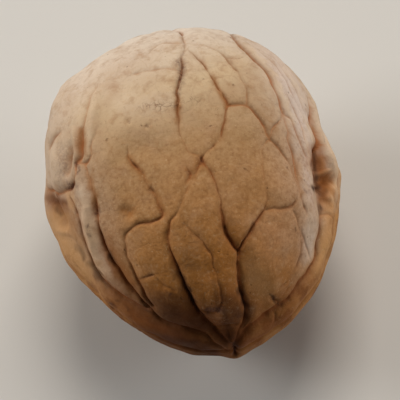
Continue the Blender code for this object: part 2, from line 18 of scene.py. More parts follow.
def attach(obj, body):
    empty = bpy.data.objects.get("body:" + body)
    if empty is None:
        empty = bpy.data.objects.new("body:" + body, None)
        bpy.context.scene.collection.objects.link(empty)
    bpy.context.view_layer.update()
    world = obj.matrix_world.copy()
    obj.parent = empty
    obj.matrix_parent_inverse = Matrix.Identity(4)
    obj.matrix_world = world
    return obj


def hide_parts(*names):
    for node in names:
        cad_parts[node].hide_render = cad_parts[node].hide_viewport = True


MM = 0.001

# The smooth nut's sizes, in millimetres. Those that change round the seam are given by the angle in
# degrees from the tip, which grows toward +x
SEAM_RADIUS = {
    0: 21.4, 6: 20.9, 13: 20.45, 20: 20.35, 28: 19.65, 43: 18.6, 52: 18.4, 61: 17.8, 76: 17.0, 84: 17.1,
    90: 17.15, 100: 17.3, 108: 18.0, 125: 19.3, 145: 19.75, 165: 20.3, 180: 20.15, -165: 20.05, -145: 19.9,
    -125: 19.1, -108: 18.0, -90: 17.4, -76: 17.15, -61: 17.05, -43: 17.85, -28: 19.1, -14: 20.15, -6: 20.55,
}
RIM_HALF_WIDTH = {0: 3.6, 40: 2.6, 90: 3.2, 140: 3.0, 180: 2.6, -140: 3.0, -90: 3.4, -60: 3.6, -30: 3.6}
FRONT_HALF_HEIGHT = 17.2
REAR_HALF_HEIGHT = 16.6
FULLNESS = 2.4
RIM_HEIGHT = 1.1
RIM_ROUNDNESS = 5
# How much of the rim stands clear of the front cheek, by angle: toward the stem it sinks into the cheek
RIM_SHOWS = {0: 1.0, 60: 1.0, 100: 1.0, 118: 0.7, 135: 0.3, 180: 0.25, -140: 0.15, -116: 0.15, -104: 0.5,
             -94: 0.9, -45: 1.0}
REAR_CREASE_DEPTH = 0.5
CREASE_HALF_WIDTH = 1.0
# The fine seam line along the middle of the rim, and how far and over what length it strays
SUTURE_DEPTH = 0.35
SUTURE_HALF_WIDTH = 0.28
SUTURE_STRAY = 0.15
SUTURE_STRAY_LENGTH = 6
SUTURE_SEED = 21
# What is cut off the rear crown for the flat resting spot
REST_CUT = 0.2
# The relief is calm round the resting spot: none within the radius, all of it past the fade
CALM_RADIUS = 4.0
CALM_FADE = 3.5
# The nut's centre, above the object's origin
NUT_CENTRE = (0.0, 0.39, REAR_HALF_HEIGHT - REST_CUT)

# How the grooves are cut: the sharp line and the wide soft valley around it, as shares of a groove's
# depth, their widths as shares of the groove's own half width, and how far a line strays from its smooth
# path
LINE_SHARE = 0.64
VALLEY_SHARE = 0.22
LINE_WIDTH = 0.57
VALLEY_WIDTH = 1.8
STRAY = 0.12
STRAY_LENGTH = 2.1
STRAY_SEEDS = (51, 52, 53)
# A groove narrows as it gets shallower, down to this share of its width, and its line fades faster than
# its valley
SHALLOW_WIDTH = 0.70
LINE_FALL_OFF = 1.35
# A groove cuts nothing beyond this distance from its line
GROOVE_REACH = 5.0
# Points along the crown groove's run over the top to the stem
RUN_ON_POINTS = 9

# Uneven growth of the shell and of its rim: height and wave length in millimetres, and seed
UNEVEN_SHELL = [(0.20, 13, 11), (0.12, 5.5, 12), (0.045, 2.2, 13)]
UNEVEN_RIM = [(0.12, 8, 14), (0.07, 3.0, 15)]
UNEVEN_RIM_HALF_WIDTH = 3.2
UNEVEN_RIM_FALL_OFF = 4
# Each such height is a sum of this many waves, their lengths spread between these shares of its own
WAVE_COUNT = 28
WAVE_SPREAD = (0.75, 1.4)

# Where the photograph was taken from, to lay the traced points on the nut
VIEW_TILT = 24.0
VIEW_ROLL = 15.0
VIEW_DISTANCE = 400.0
PIXELS_PER_MM = 8.25
CENTRE_PIXEL = (193.5, 193.5)
# Along a line of sight the nut is sought from this far before its centre to this far behind, in this many
# steps
SOUGHT_BEFORE = 25
SOUGHT_BEHIND = 5
SOUGHT_STEPS = 301
# Cosines of how far the nut faces the eye: where a traced depth starts to count, and where the hidden
# side starts, each with the span over which it comes in
DEPTH_COUNTS_FROM = 0.50
DEPTH_COUNTS_OVER = 0.25
HIDDEN_FROM = 0.10
HIDDEN_OVER = 0.30

# Net of grooves on the hidden side
NET_SEED = 5
NET_RADIUS = 9.0
NET_SQUEEZE = 0.42
NET_ROWS = 4
NET_COLUMNS = 13
NET_LENGTH = 20
NET_JITTER = 0.32
NET_BEND = 1.1
NET_BENDS = [(9, 41), (11, 42), (10, 43)]
# At the ends of the nut the unrolled net is kept from stretching without end
NET_LEAST_RADIUS = 0.5
NET_LEAST_SLOPE = 0.3
# The net's depth as a share of a millimetre: its mean, how far it varies, wave length and seed of that,
# and limits
NET_DEPTH = 0.62
NET_DEPTH_VARIES = 0.4
NET_DEPTH_WAVES = (10, 31)
NET_DEPTH_LIMITS = (0.1, 1.1)
# How far the net keeps from the seam, and over how much more it comes in
NET_OFF_SEAM = 2.8
NET_OFF_SEAM_OVER = 1.4
NET_LINE_WIDTH = 0.38
NET_VALLEY_WIDTH = 1.2

# Stem scar at the blunt end: a flat pit with a raised lip
SCAR_RADIUS = 1.3
SCAR_DEPTH = 0.6
SCAR_FLATNESS = 4
SCAR_LIP_RADIUS = 1.9
SCAR_LIP_HALF_WIDTH = 0.6
SCAR_LIP_HEIGHT = 0.18

# The fine surface: squares along each side of the cube that is wrapped round the nut, which makes 196,608
# triangles in all, and how far its middle is moved toward the camera, as a share of the ball's radius
GRID = 128
FINER_IN_VIEW = 0.22
# The share of the way that points move toward a groove's line, and how near it, in millimetres, they do so
GATHER = 0.5
GATHER_REACH = 0.75
GATHER_FROM = 3.0

# The studio, in metres, and the camera's picture and sensor, in pixels and millimetres
FLOOR_SIZE = 6.0
SOFTBOX_SIZE = 0.30
SOFTBOX_DISTANCE = 0.60
PICTURE_PIXELS = 400
SENSOR_WIDTH = 36.0

# A fold or mark is taken to end at this many of its half widths
FADED_OUT = 3

# Grooves: half width of the line in millimetres, then x, y in pixels of the photograph and depth in
# millimetres
GROOVES = {
    "crown fissure": (0.34, [
        (181, 30, .6), (184, 42, .35), (184, 51, .3), (181, 58, .45), (182, 64, .55), (182, 71, .65),
        (180, 78, .7), (179, 86, .65), (177, 93, .6), (178, 101, .55), (178, 114, .5), (179, 127, .35),
        (184, 142, .3), (190, 152, .3), (197, 157, .45), (201, 161, .8),
    ]),
    "lens right": (0.33, [
        (186, 47, .2), (194, 54, .4), (202, 61, .55), (208, 70, .55), (214, 81, .55), (220, 91, .6),
        (227, 105, .65),
    ]),
    "lens low": (0.32, [
        (227, 105, .65), (225, 114, .5), (223, 125, .55), (221, 136, .6), (215, 145, .5), (208, 150, .3),
        (202, 158, .6),
    ]),
    "right arch": (0.32, [
        (184, 43, .2), (198, 44, .3), (208, 46, .35), (218, 50, .4), (226, 55, .5), (231, 62, .45),
        (237, 70, .45), (241, 78, .3), (245, 87, .3), (247, 97, .45), (247, 106, .5),
    ]),
    "arch bridge": (0.22, [(226, 55, .4), (233, 57, .35), (240, 58, .35), (247, 55, .2)]),
    "long right": (0.34, [
        (227, 105, .6), (237, 105, .5), (246, 106, .55), (254, 113, .6), (261, 123, .6), (269, 136, .55),
        (277, 146, .45), (284, 154, .4), (290, 165, .35), (295, 176, .3), (298, 187, .25), (301, 198, .3),
    ]),
    "shoulder valley": (0.50, [
        (227, 29, .5), (235, 38, .6), (242, 45, .7), (250, 54, .8), (259, 64, .7), (268, 74, .7),
        (273, 85, .6), (277, 96, .6), (281, 106, .6), (284, 113, .5),
    ]),
    "shoulder branch": (0.36, [
        (284, 113, .4), (290, 117, .45), (294, 125, .5), (299, 135, .5), (303, 147, .45), (307, 156, .35),
    ]),
    "flank wrinkle": (0.36, [(252, 44, .1), (268, 58, .3), (282, 74, .4), (293, 92, .4), (300, 108, .25)]),
    "flank furrow": (0.36, [(276, 62, .15), (289, 78, .35), (299, 94, .4), (305, 112, .25)]),
    "flank fold": (0.36, [(285, 92, .2), (294, 107, .4), (301, 122, .45), (306, 138, .35), (309, 152, .2)]),
    "shoulder link": (0.30, [
        (282, 112, .35), (280, 120, .35), (275, 125, .5), (271, 133, .4), (270, 137, .4),
    ]),
    "shoulder fork": (0.42, [
        (282, 114, .4), (285, 121, .4), (287, 129, .4), (288, 139, .4), (290, 147, .45), (294, 155, .5),
        (295, 163, .5), (296, 172, .5), (298, 180, .4), (299, 190, .25),
    ]),
    "right plate side": (0.28, [
        (268, 138, .4), (264, 146, .2), (263, 155, .25), (263, 168, .3), (264, 180, .3), (265, 190, .3),
        (266, 200, .35), (264, 210, .5),
    ]),
    "right plate foot": (0.30, [
        (264, 210, .4), (276, 208, .5), (288, 207, .5), (294, 203, .5), (296, 199, .3),
    ]),
    "right branch": (0.36, [(264, 210, .5), (257, 219, .7), (251, 228, .8), (245, 238, .7), (239, 250, .8)]),
    "centre right": (0.36, [
        (201, 160, .8), (206, 166, .6), (211, 173, .5), (215, 181, .5), (218, 190, .4), (220, 200, .4),
        (221, 210, .5), (223, 222, .7), (225, 232, .9), (231, 241, .9), (235, 248, .9), (239, 252, .9),
    ]),
    "tip fissure": (0.42, [
        (239, 252, .9), (238, 262, .7), (238, 273, .7), (239, 285, .8), (242, 296, 1.1), (245, 305, 1.0),
        (246, 315, .9), (245, 325, .7), (240, 336, .6), (236, 346, .8), (236, 357, .9),
    ]),
    "centre left": (0.38, [
        (201, 162, .6), (198, 168, .45), (195, 174, .3), (191, 182, .25), (187, 190, .3), (184, 197, .25),
        (180, 207, .2), (175, 216, .3), (171, 223, .5), (169, 233, .5), (169, 246, .5), (173, 257, .7),
        (178, 269, .9), (184, 283, 1.0), (190, 295, 1.2), (196, 308, 1.2), (202, 317, 1.0), (209, 324, .8),
        (217, 332, .7), (226, 342, .6), (234, 350, .6),
    ]),
    "node pit": (0.34, [(186, 166, .2), (188, 171, .4), (190, 176, .6), (187, 182, .3), (184, 190, .1)]),
    "finger": (0.34, [
        (185, 225, .2), (191, 230, .3), (200, 239, .4), (207, 248, .45), (212, 259, .4), (216, 272, .3),
        (219, 285, .35), (221, 297, .45), (221, 308, .5), (218, 312, .5), (207, 311, .5), (199, 310, .3),
    ]),
    "bracket top": (0.22, [(127, 146, .2), (127, 153, .35), (130, 160, .5)]),
    "bracket": (0.36, [
        (128, 158, .2), (133, 163, .7), (139, 170, .5), (143, 176, .3), (148, 185, .3), (151, 190, .45),
        (156, 198, .35), (160, 205, .5), (163, 213, .5), (160, 220, .5), (152, 223, .5), (141, 225, .5),
        (131, 229, .35), (126, 235, .35), (126, 245, .35), (128, 256, .4), (133, 270, .5), (139, 281, .7),
        (146, 294, .8), (154, 305, .8),
    ]),
    "inner crease": (0.36, [
        (84, 163, .5), (88, 172, .4), (92, 182, .4), (95, 195, .4), (97, 211, .7), (99, 221, .5),
        (102, 232, .8), (106, 245, .9), (112, 258, .9), (120, 271, .9), (129, 283, .9), (139, 294, 1.0),
        (149, 306, 1.0), (160, 317, 1.0), (174, 323, 1.0), (190, 328, .8), (203, 335, .7), (216, 344, .6),
        (228, 352, .5),
    ]),
    "outer crease": (0.38, [
        (70, 198, .4), (76, 210, .7), (80, 222, .5), (81, 232, .5), (86, 248, .8), (94, 266, .8),
        (103, 279, .9), (114, 290, .9), (125, 299, .9), (135, 304, 1.0), (147, 309, .9),
    ]),
    "block foot": (0.26, [(141, 279, .3), (147, 277, .4), (154, 275, .3)]),
    "block line": (0.24, [(157, 279, .2), (164, 285, .35), (175, 291, .3)]),
    "low seam": (0.24, [(150, 333, .2), (165, 341, .4), (180, 346, .45), (196, 350, .4), (210, 353, .2)]),
    "left fold": (0.46, [
        (97, 84, .2), (92, 95, .3), (88, 107, .35), (85, 118, .4), (82, 128, .55), (81, 138, .7),
        (81, 148, .7), (81, 157, .6), (78, 164, .7), (78, 174, .5),
    ]),
    "left fold side": (0.34, [
        (98, 128, .1), (95, 137, .25), (92, 147, .35), (91, 157, .35), (86, 163, .6), (78, 164, .7),
    ]),
    "boss brow": (0.40, [(61, 132, .3), (56, 137, .6), (52, 144, .6), (49, 150, .3)]),
    "boss foot": (0.42, [
        (84, 164, .3), (79, 165, .4), (78, 173, .4), (75, 181, .5), (71, 187, .8), (66, 191, .5),
        (58, 194, .6), (52, 191, .6), (46, 187, .4),
    ]),
    "left arch": (0.34, [
        (148, 60, .1), (149, 52, .2), (156, 45, .35), (165, 41.5, .5), (175, 41, .45), (184, 43, .3),
    ]),
    "left brow": (0.34, [
        (132, 76, .1), (136, 74, .4), (144, 72, .3), (156, 69, .3), (169, 67, .35), (178, 69, .4),
    ]),
    "block side": (0.26, [
        (292, 209, .2), (295, 217, .3), (298, 230, .3), (300, 243, .3), (299, 256, .35), (296, 264, .4),
        (293, 271, .3), (288, 280, .2),
    ]),
    "edge side": (0.28, [
        (301, 194, .2), (303, 205, .4), (307, 213, .3), (303, 222, .1), (300, 231, .3), (304, 240, .35),
        (307, 250, .35), (308, 258, .2),
    ]),
    "right crease": (0.46, [
        (307, 96, .2), (310, 106, .5), (311, 115, .8), (311, 121, 1.0), (313, 128, 1.2), (315, 134, 1.2),
        (317, 141, 1.1), (317, 148, 1.2), (315, 154, 1.4), (315, 161, 1.6), (315, 170, 1.7), (316, 178, 1.7),
        (317, 186, 1.7), (319, 193, 1.6), (320, 200, 1.5), (321, 208, 1.3), (321, 216, 1.0), (320, 232, .7),
        (317, 245, .7), (315, 258, .7), (309, 270, .8), (302, 278, .8), (295, 288, .9), (288, 300, 1.0),
        (281, 306, 1.0), (272, 313, 1.0), (261, 321, 1.0), (251, 328, .9), (244, 336, .7), (238, 346, .5),
    ]),
    "rim valley": (0.36, [(320, 133, .2), (321, 141, .5), (323, 149, .5), (327, 157, .3), (331, 163, .1)]),
    "hollow line": (0.24, [(318, 171, .2), (322, 170, .35), (328, 169, .15)]),
    "rim arc": (0.22, [(321, 219, .3), (325, 215, .4), (329, 215, .3), (332, 219, .2)]),
    "rim crack": (0.20, [
        (333, 207, .1), (334, 216, .4), (333, 226, .5), (333, 236, .5), (331, 246, .35), (327, 255, .1),
    ]),
    "low nick": (0.28, [(271, 296, .5), (276, 302, .6), (282, 305, .5)]),
    "low scratch": (0.24, [(278, 288, .4), (284, 282, .4), (289, 277, .1)]),
    "low scrape": (0.20, [(281, 296, .3), (286, 289, .4), (290, 283, .2)]),
    "rim nick": (0.28, [(277, 311, .3), (276, 317, .4), (275, 322, .2)]),
    "tip crack": (0.24, [(203, 320, .2), (212, 326, .5), (219, 329, .5), (227, 327, .4), (237, 327, .3)]),
    "tip split": (0.22, [(213, 327, .3), (217, 333, .5), (221, 339, .4)]),
    "tip line": (0.20, [(227, 328, .2), (229, 336, .4), (232, 343, .3)]),
    "tip streak": (0.20, [(252, 321, .2), (247, 329, .4), (242, 337, .3)]),
}

# Folds: half width in millimetres, then x, y in pixels of the photograph and height in millimetres, below
# 0 a hollow
FOLDS = {
    "crown hollow": (1.5, [(127, 152, -.35), (140, 148, -.45), (158, 150, -.3)]),
    "boss dimple": (0.55, [(69, 146, -.3), (68, 158, -.7), (67, 172, -.5)]),
    "boss": (1.5, [(58, 145, .4), (57, 160, .6), (59, 180, .6)]),
    "boss ridge": (0.5, [(73, 132, .3), (75, 145, .45), (75, 160, .4), (76, 178, .3)]),
    "left shoulder": (3.0, [(66, 88, .5), (60, 105, .9), (56, 118, .5)]),
    "fold bank": (0.8, [(101, 88, .1), (98, 98, .3), (94, 110, .35), (91, 124, .3), (91, 138, .2)]),
    "strap": (0.8, [
        (79, 168, .2), (79, 185, .4), (84, 205, .5), (88, 230, .5), (96, 255, .5), (110, 275, .5),
        (125, 290, .3),
    ]),
    "right ridge": (0.50, [
        (314, 104, .1), (315, 116, .25), (316, 126, .4), (318, 136, .6), (320, 145, .6), (323, 154, .8),
        (327, 163, .7), (330, 168, .3),
    ]),
    "right rim swell": (1.8, [
        (330, 150, .2), (336, 162, .5), (338, 174, .7), (339, 187, .6), (337, 205, .3),
    ]),
    "left rim fold": (0.45, [(57, 229, .05), (62, 231, .3), (69, 232, .35), (74, 237, .15)]),
    "left hollow": (0.9, [(53, 198, -.5), (58, 208, -1.0), (64, 220, -.5)]),
    "right hollow": (1.0, [
        (318, 158, -1.1), (319, 166, -1.3), (320, 177, -1.3), (321, 187, -1.3), (322, 197, -1.0),
        (322, 207, -.7),
    ]),
    "hollow corner": (0.8, [(323, 182, -.5), (328, 179, -1.1), (332, 179, -.8)]),
    "hollow ridge": (0.55, [(318, 175, .2), (323, 173, .45), (328, 172, .3)]),
    "hollow fold": (0.5, [(321, 194, .2), (325, 196, .5), (330, 199, .2)]),
    "dimple": (0.8, [(126, 210, -.35), (129, 212, -.4)]),
    "crown pit": (0.3, [(129, 122, -.25), (130, 123, -.25)]),
    "small pit": (0.25, [(147.5, 127, -.2), (148.5, 127, -.2)]),
    "tip hollow": (1.5, [(205, 325, -.4), (220, 332, -.7), (236, 332, -.6)]),
}

# Marks that are only colour: half width in millimetres, then x, y in pixels of the photograph and
# strength. Stains are dark and purplish, burnt spots dark brown, russet and warm patches red-brown, honey a
# light tan, bleached ridges cream, ashen skin pale and pinkish, and crazed skin has hair-fine cracks. Russet
# is painted shade and honey painted light; some burnt and warm marks are painted shade, and some bleached
# and ashen marks painted highlights and light, as marked at each.
STAINS = {
    "crown": (0.55, [
        (184, 50, .2), (180, 61, .6), (182, 74, .75), (179, 85, .7), (178, 94, .5), (178, 118, .2),
    ]),
    "finger foot": (0.40, [(206, 311, 1.0), (213, 310, 1.0), (222, 309, .9)]),
    "strap pit": (0.35, [(97, 207, .5), (98, 214, .8)]),
    "strap pits": (0.20, [(87, 225, .7), (88, 228, .8)]),
    "strap pits low": (0.20, [(89, 233, .6), (90, 236, .7)]),
    "boss foot": (0.40, [(69, 187, .9), (73, 186, .9)]),
    "boss": (0.9, [(60, 146, .25), (64, 160, .35), (62, 174, .3)]),
    "fold pits": (0.24, [(77, 162, .8), (78, 174, .8)]),
    "crown pit": (0.17, [(128, 122, .6), (130, 124, .6)]),
    "small pit": (0.13, [(147, 126, .7), (148, 127, .6)]),
    "low pit": (0.16, [(169, 294, .9), (169, 296, .9)]),
    "block pit": (0.20, [(151, 274, .8), (153, 276, .8)]),
    "node": (0.35, [(199, 158, .4), (202, 162, .6)]),
    "node pit": (0.30, [(188, 171, .4), (189, 176, .5)]),
    "right pit": (0.16, [(288, 194, .7), (289, 195, .7)]),
    "edge pits": (0.20, [(305, 190, .5), (308, 192, .5)]),
}
BURNT_AND_SHADE = {
    "nick": (0.22, [(271, 295, .8), (277, 303, .8), (282, 305, .6)]),
    "bracket": (0.20, [(130, 159, .3), (136, 167, .6), (142, 174, .3)]),
    "bracket spot": (0.35, [(150, 188, .5), (153, 191, .5)]),
    "left hollow": (0.65, [(49, 198, .35), (56, 200, .5), (62, 202, .4)]),
    "hollow spot": (0.35, [(57, 209, .4), (61, 214, .5)]),
    "rim mottle": (0.45, [(75, 240, .2), (81, 250, .5), (84, 259, .6)]),
    "rim blots": (0.45, [(90, 264, .5), (97, 272, .8), (101, 280, .7), (108, 286, .4)]),
    "rim spot": (0.30, [(111, 304, .7), (114, 306, .7)]),
    "rim speckle": (0.25, [(118, 300, .6), (123, 303, .3), (127, 309, .6), (133, 312, .3), (138, 317, .6)]),
    "rim dark": (0.7, [(128, 300, .4), (140, 312, .5), (158, 324, .6), (178, 333, .6)]),
    # Painted shade under the rim, toward the tip
    "rim under": (1.4, [(112, 306, .2), (140, 328, .5), (165, 338, .75), (190, 345, .8), (212, 352, .7)]),
    # Painted shade down the right slot, where the crease lies in shade
    "right slot": (0.28, [
        (317, 146, .3), (315, 156, .7), (314, 165, .8), (315, 175, .5), (316, 185, .9), (318, 193, .7),
    ]),
    "right slot low": (0.28, [(318, 203, .4), (319, 209, .9), (320, 214, .6)]),
    # Painted shade in the right hollow
    "hollow top": (0.45, [(316, 155, .4), (318, 162, .4), (321, 168, .2)]),
    "hollow shade": (0.45, [(316, 188, 1.0), (321, 186, .6), (327, 184, .35), (331, 185, .1)]),
    "hollow shade low": (0.40, [(319, 193, .5), (326, 192, .5)]),
    # Painted shade under the nut on the low left and at the tip
    "low left": (2.8, [(118, 290, .2), (146, 304, .6), (172, 316, .8), (196, 326, .6)]),
    "tip": (1.5, [(214, 334, .6), (224, 338, .8), (240, 336, .7), (250, 326, .3)]),
    "tip notch": (0.35, [(235, 341, .8), (235, 350, 1.0), (236, 356, .8)]),
    "fissure": (0.40, [(240, 289, .7), (242, 298, 1.0), (245, 308, .8), (245, 318, .7)]),
    "fork": (0.30, [(224, 226, .7), (226, 232, .5), (231, 240, .3)]),
    "fork right": (0.30, [(254, 225, .7), (250, 230, .4), (246, 237, .3)]),
    "centre left": (0.34, [
        (176, 263, .4), (181, 275, .8), (186, 287, 1.0), (192, 299, 1.0), (198, 310, .9),
    ]),
    "inner crease": (0.28, [
        (102, 232, .5), (106, 246, .3), (110, 255, .9), (116, 265, .4), (124, 277, .6), (133, 288, .4),
    ]),
    "crease end": (0.5, [(140, 300, .4), (150, 312, .8), (160, 320, .7), (168, 326, .4)]),
}
# Painted shade: red-brown darkening under the nut, at the tip and in the hollows, where shade falls
RUSSET_SHADE = {
    "left hollow": (0.9, [(48, 198, .5), (56, 201, .8), (63, 204, .7)]),
    "rim low": (1.6, [
        (104, 284, .3), (118, 298, .6), (132, 311, .8), (150, 324, .9), (170, 335, 1.0), (190, 343, 1.0),
        (212, 350, .9),
    ]),
    "low block": (2.2, [(140, 290, .3), (160, 302, .6), (180, 313, .8), (200, 324, .8)]),
    "tip": (2.0, [(210, 330, .7), (225, 340, .9), (245, 338, .8), (262, 328, .4)]),
    "low left": (1.0, [(103, 245, .4), (110, 262, .6), (121, 277, .6), (134, 291, .5)]),
    "right hollow": (1.2, [(316, 153, .6), (318, 162, .9), (321, 172, .7), (323, 184, .8), (323, 196, .6)]),
    "rim low right": (1.2, [(312, 282, .3), (300, 298, .4), (284, 314, .5), (264, 328, .5)]),
}
# Painted light: a light tan lifting places that lie in shade, low right, on the rims, in hollows, on the
# strap
HONEY_LIGHT = {
    "low right": (1.8, [(252, 262, .5), (256, 278, .8), (266, 288, .6)]),
    "hollow edge": (0.6, [(69, 194, .7), (72, 206, .8)]),
    "rim left": (1.4, [(58, 220, 1.0), (66, 240, 1.0), (78, 256, 1.0), (88, 272, .8)]),
    "rim right": (1.1, [(334, 190, .4), (329, 222, .6), (325, 245, 1.0), (318, 268, .8)]),
    "hollow": (0.4, [(320, 160, .8), (323, 166, .8)]),
    "hollow fold": (0.35, [(318, 175, .7), (324, 173, .9), (331, 172, .6)]),
    "strap": (0.7, [(84, 205, .2), (90, 232, .6), (97, 254, .4)]),
}
WARM_PATCHES_AND_SHADE = {
    # Painted shade dimming the upper left, where the light falls brightest
    "shoulder left": (2.5, [(95, 90, .25), (120, 72, .3), (150, 58, .2)]),
    "crown left": (1.6, [(132, 84, .15), (150, 80, .25), (166, 76, .2)]),
    "arch": (2.0, [(236, 70, .2), (252, 90, .25), (258, 104, .2)]),
    "arch left": (1.1, [(222, 78, .15), (230, 90, .3), (236, 104, .25)]),
    "crown": (0.45, [(178, 97, .9), (178, 108, 1.0), (178, 122, .6)]),
    "lens": (0.40, [(212, 76, .5), (222, 96, .9), (227, 105, .9)]),
    "node": (0.9, [(186, 168, .5), (190, 176, .5), (198, 162, .6)]),
    "left fold": (0.7, [(81, 133, .8), (81, 142, 1.0), (81, 152, .8)]),
    "strap side": (0.5, [(88, 175, .5), (93, 190, .8), (96, 205, .6)]),
    # Painted shade in the left hollow
    "left hollow": (1.4, [(50, 197, .7), (56, 206, 1.0), (63, 214, 1.0), (71, 227, .8), (79, 240, .6)]),
    "rim left": (1.3, [
        (50, 214, .3), (59, 230, .3), (70, 245, .35), (83, 260, .4), (98, 277, .5), (112, 292, .7),
        (130, 311, .9), (152, 326, 1.0),
    ]),
    # Painted shade on the low left, in the crease's shadow
    "low left": (1.0, [(103, 225, .2), (110, 246, .7), (119, 266, .9), (132, 284, .8)]),
    "bracket": (0.45, [
        (130, 159, .8), (137, 168, .9), (144, 177, .6), (149, 186, .5), (156, 196, .6), (161, 206, .7),
        (163, 215, .5),
    ]),
    "dimple": (0.7, [(125, 210, .7), (130, 213, .7)]),
    "right slot": (0.28, [(311, 106, .5), (311, 118, .8), (313, 128, 1.0), (315, 136, .8), (317, 150, .9)]),
    # Painted shade in the right hollow and its corner
    "right hollow": (1.2, [
        (316, 153, .7), (317, 161, 1.0), (320, 171, 1.0), (323, 182, 1.0), (323, 196, 1.0), (322, 208, .7),
    ]),
    "hollow corner": (0.8, [(324, 181, .8), (331, 179, .6)]),
    "right fold": (0.6, [(284, 130, .1), (291, 150, .2), (296, 170, .3), (299, 188, .25), (300, 204, .15)]),
    "right rim": (0.8, [(324, 228, .2), (323, 240, .25)]),
    "right rim low": (0.9, [(322, 262, .2), (312, 282, .3)]),
    "centre": (1.4, [(222, 215, .4), (236, 240, .6), (232, 262, .4)]),
}
# Painted highlights on the right flank, the right rim and the fold bank; the strap and boss are bleached
# skin
BLEACHED_AND_HIGHLIGHTS = {
    "right ridge": (0.45, [
        (315, 106, .4), (317, 120, .6), (319, 134, .9), (322, 146, 1.0), (326, 156, 1.0), (330, 165, .8),
    ]),
    "flank bump": (0.35, [(300, 112, .3), (307, 123, .7), (312, 136, .8), (313, 146, .5)]),
    "flank edge": (0.26, [
        (303, 130, .5), (307, 146, .6), (309, 160, .8), (311, 174, .7), (313, 188, .7), (316, 203, .7),
        (317, 220, .5), (315, 240, .3),
    ]),
    "flank streak": (0.40, [(262, 66, .4), (274, 84, .9), (286, 104, 1.0), (293, 122, .8)]),
    "flank crest": (0.30, [(283, 66, .5), (295, 84, .8), (304, 102, .7)]),
    "shoulder bank": (0.34, [
        (240, 40, .4), (250, 49, .8), (263, 62, .9), (274, 76, 1.0), (281, 92, .9), (286, 104, .6),
    ]),
    "flank band": (0.9, [(306, 203, .4), (311, 222, .6), (312, 242, .6), (309, 262, .4)]),
    "strap": (0.60, [(82, 190, .5), (86, 210, .8), (90, 234, 1.0), (98, 254, .8), (110, 273, .5)]),
    "boss": (1.5, [(52, 130, .3), (54, 150, .4), (56, 175, .4)]),
    "rim top": (1.2, [(317, 106, .5), (320, 124, .8), (326, 140, 1.0), (333, 154, 1.0), (337, 168, .8)]),
    "fold bank": (0.50, [(97, 98, .3), (92, 112, .5), (89, 128, .5), (88, 150, .4)]),
    "rim edge": (0.50, [(334, 152, .6), (337, 170, 1.0), (338, 190, .9), (336, 210, .5)]),
}
ASHEN_AND_LIGHT = {
    "right flank": (1.6, [(264, 52, .5), (282, 74, .9), (294, 96, 1.0), (302, 120, .9), (307, 145, .6)]),
    "right band": (0.9, [
        (307, 145, .6), (311, 165, .9), (312, 190, .6), (312, 215, .4), (311, 240, 1.0), (308, 260, .5),
    ]),
    "cell right": (2.0, [(268, 224, .10), (276, 236, .12), (272, 250, .08)]),
    "strap": (0.7, [(82, 190, .2), (87, 215, .25), (91, 236, .3), (99, 256, .2)]),
    # Painted light along the right rim's ridge, which lies in shade
    "rim ridge": (0.75, [
        (317, 114, .2), (320, 128, .5), (323, 142, .8), (328, 158, 1.0), (333, 170, .8), (336, 186, .4),
    ]),
    "crown left": (1.5, [(125, 105, .2), (150, 105, .25), (165, 100, .2)]),
}
CRAZED = {
    "band": (0.55, [(142, 108, .8), (152, 106, 1.0), (165, 107, 1.0), (178, 104, .8)]),
    "lens": (0.45, [(184, 101, .6), (197, 100, .7)]),
}
# All these marks, by the names that the material reads
MARKS = {"stain": STAINS, "burn_and_shade": BURNT_AND_SHADE, "russet_shade": RUSSET_SHADE, "honey_light": HONEY_LIGHT, "warmth_and_shade": WARM_PATCHES_AND_SHADE,
         "bleached_and_highlight": BLEACHED_AND_HIGHLIGHTS, "ashen_and_light": ASHEN_AND_LIGHT, "crazing": CRAZED}

# The shell's colour from the tip, 0, to the stem, 1: where they lie in metres, the colour at each, and the
# shades between. Browner toward the tip and paler toward the stem, partly its own tone; the dark tip end is
# partly painted shade, and the pale stem end partly a painted sheen.
TIP_END = -0.0205
STEM_END = 0.0195
TIP_COLOUR_AND_SHADE = "#3a1c0a"
STEM_COLOUR_AND_SHEEN = "#dccfc0"
TIP_TO_STEM_TONE_AND_LIGHT = [(0.03, "#5a3212"), (0.07, "#875122"), (0.14, "#aa7035"), (0.50, "#a8835a"), (0.70, "#c9af8d"),
               (0.86, "#d3c1ad")]

# How far a painted mark's edge strays, how long its waves are, and their seeds
MARK_STRAY = 0.22
MARK_STRAY_LENGTH = 1.3
MARK_SEEDS = (61, 62)
# The rim as a band of colour: its half width in millimetres, and how steeply it ends
RIM_BAND_HALF_WIDTH = 3.4
RIM_BAND_FALL_OFF = 6
# Where grooves cross or meet the seam line, what the material reads goes no higher than this
GROOVE_LIMIT = 1.2
# The swell read by the material: its middle, and what a millimetre of height adds
SWELL_MIDDLE = 0.5
SWELL_PER_MM = 0.6

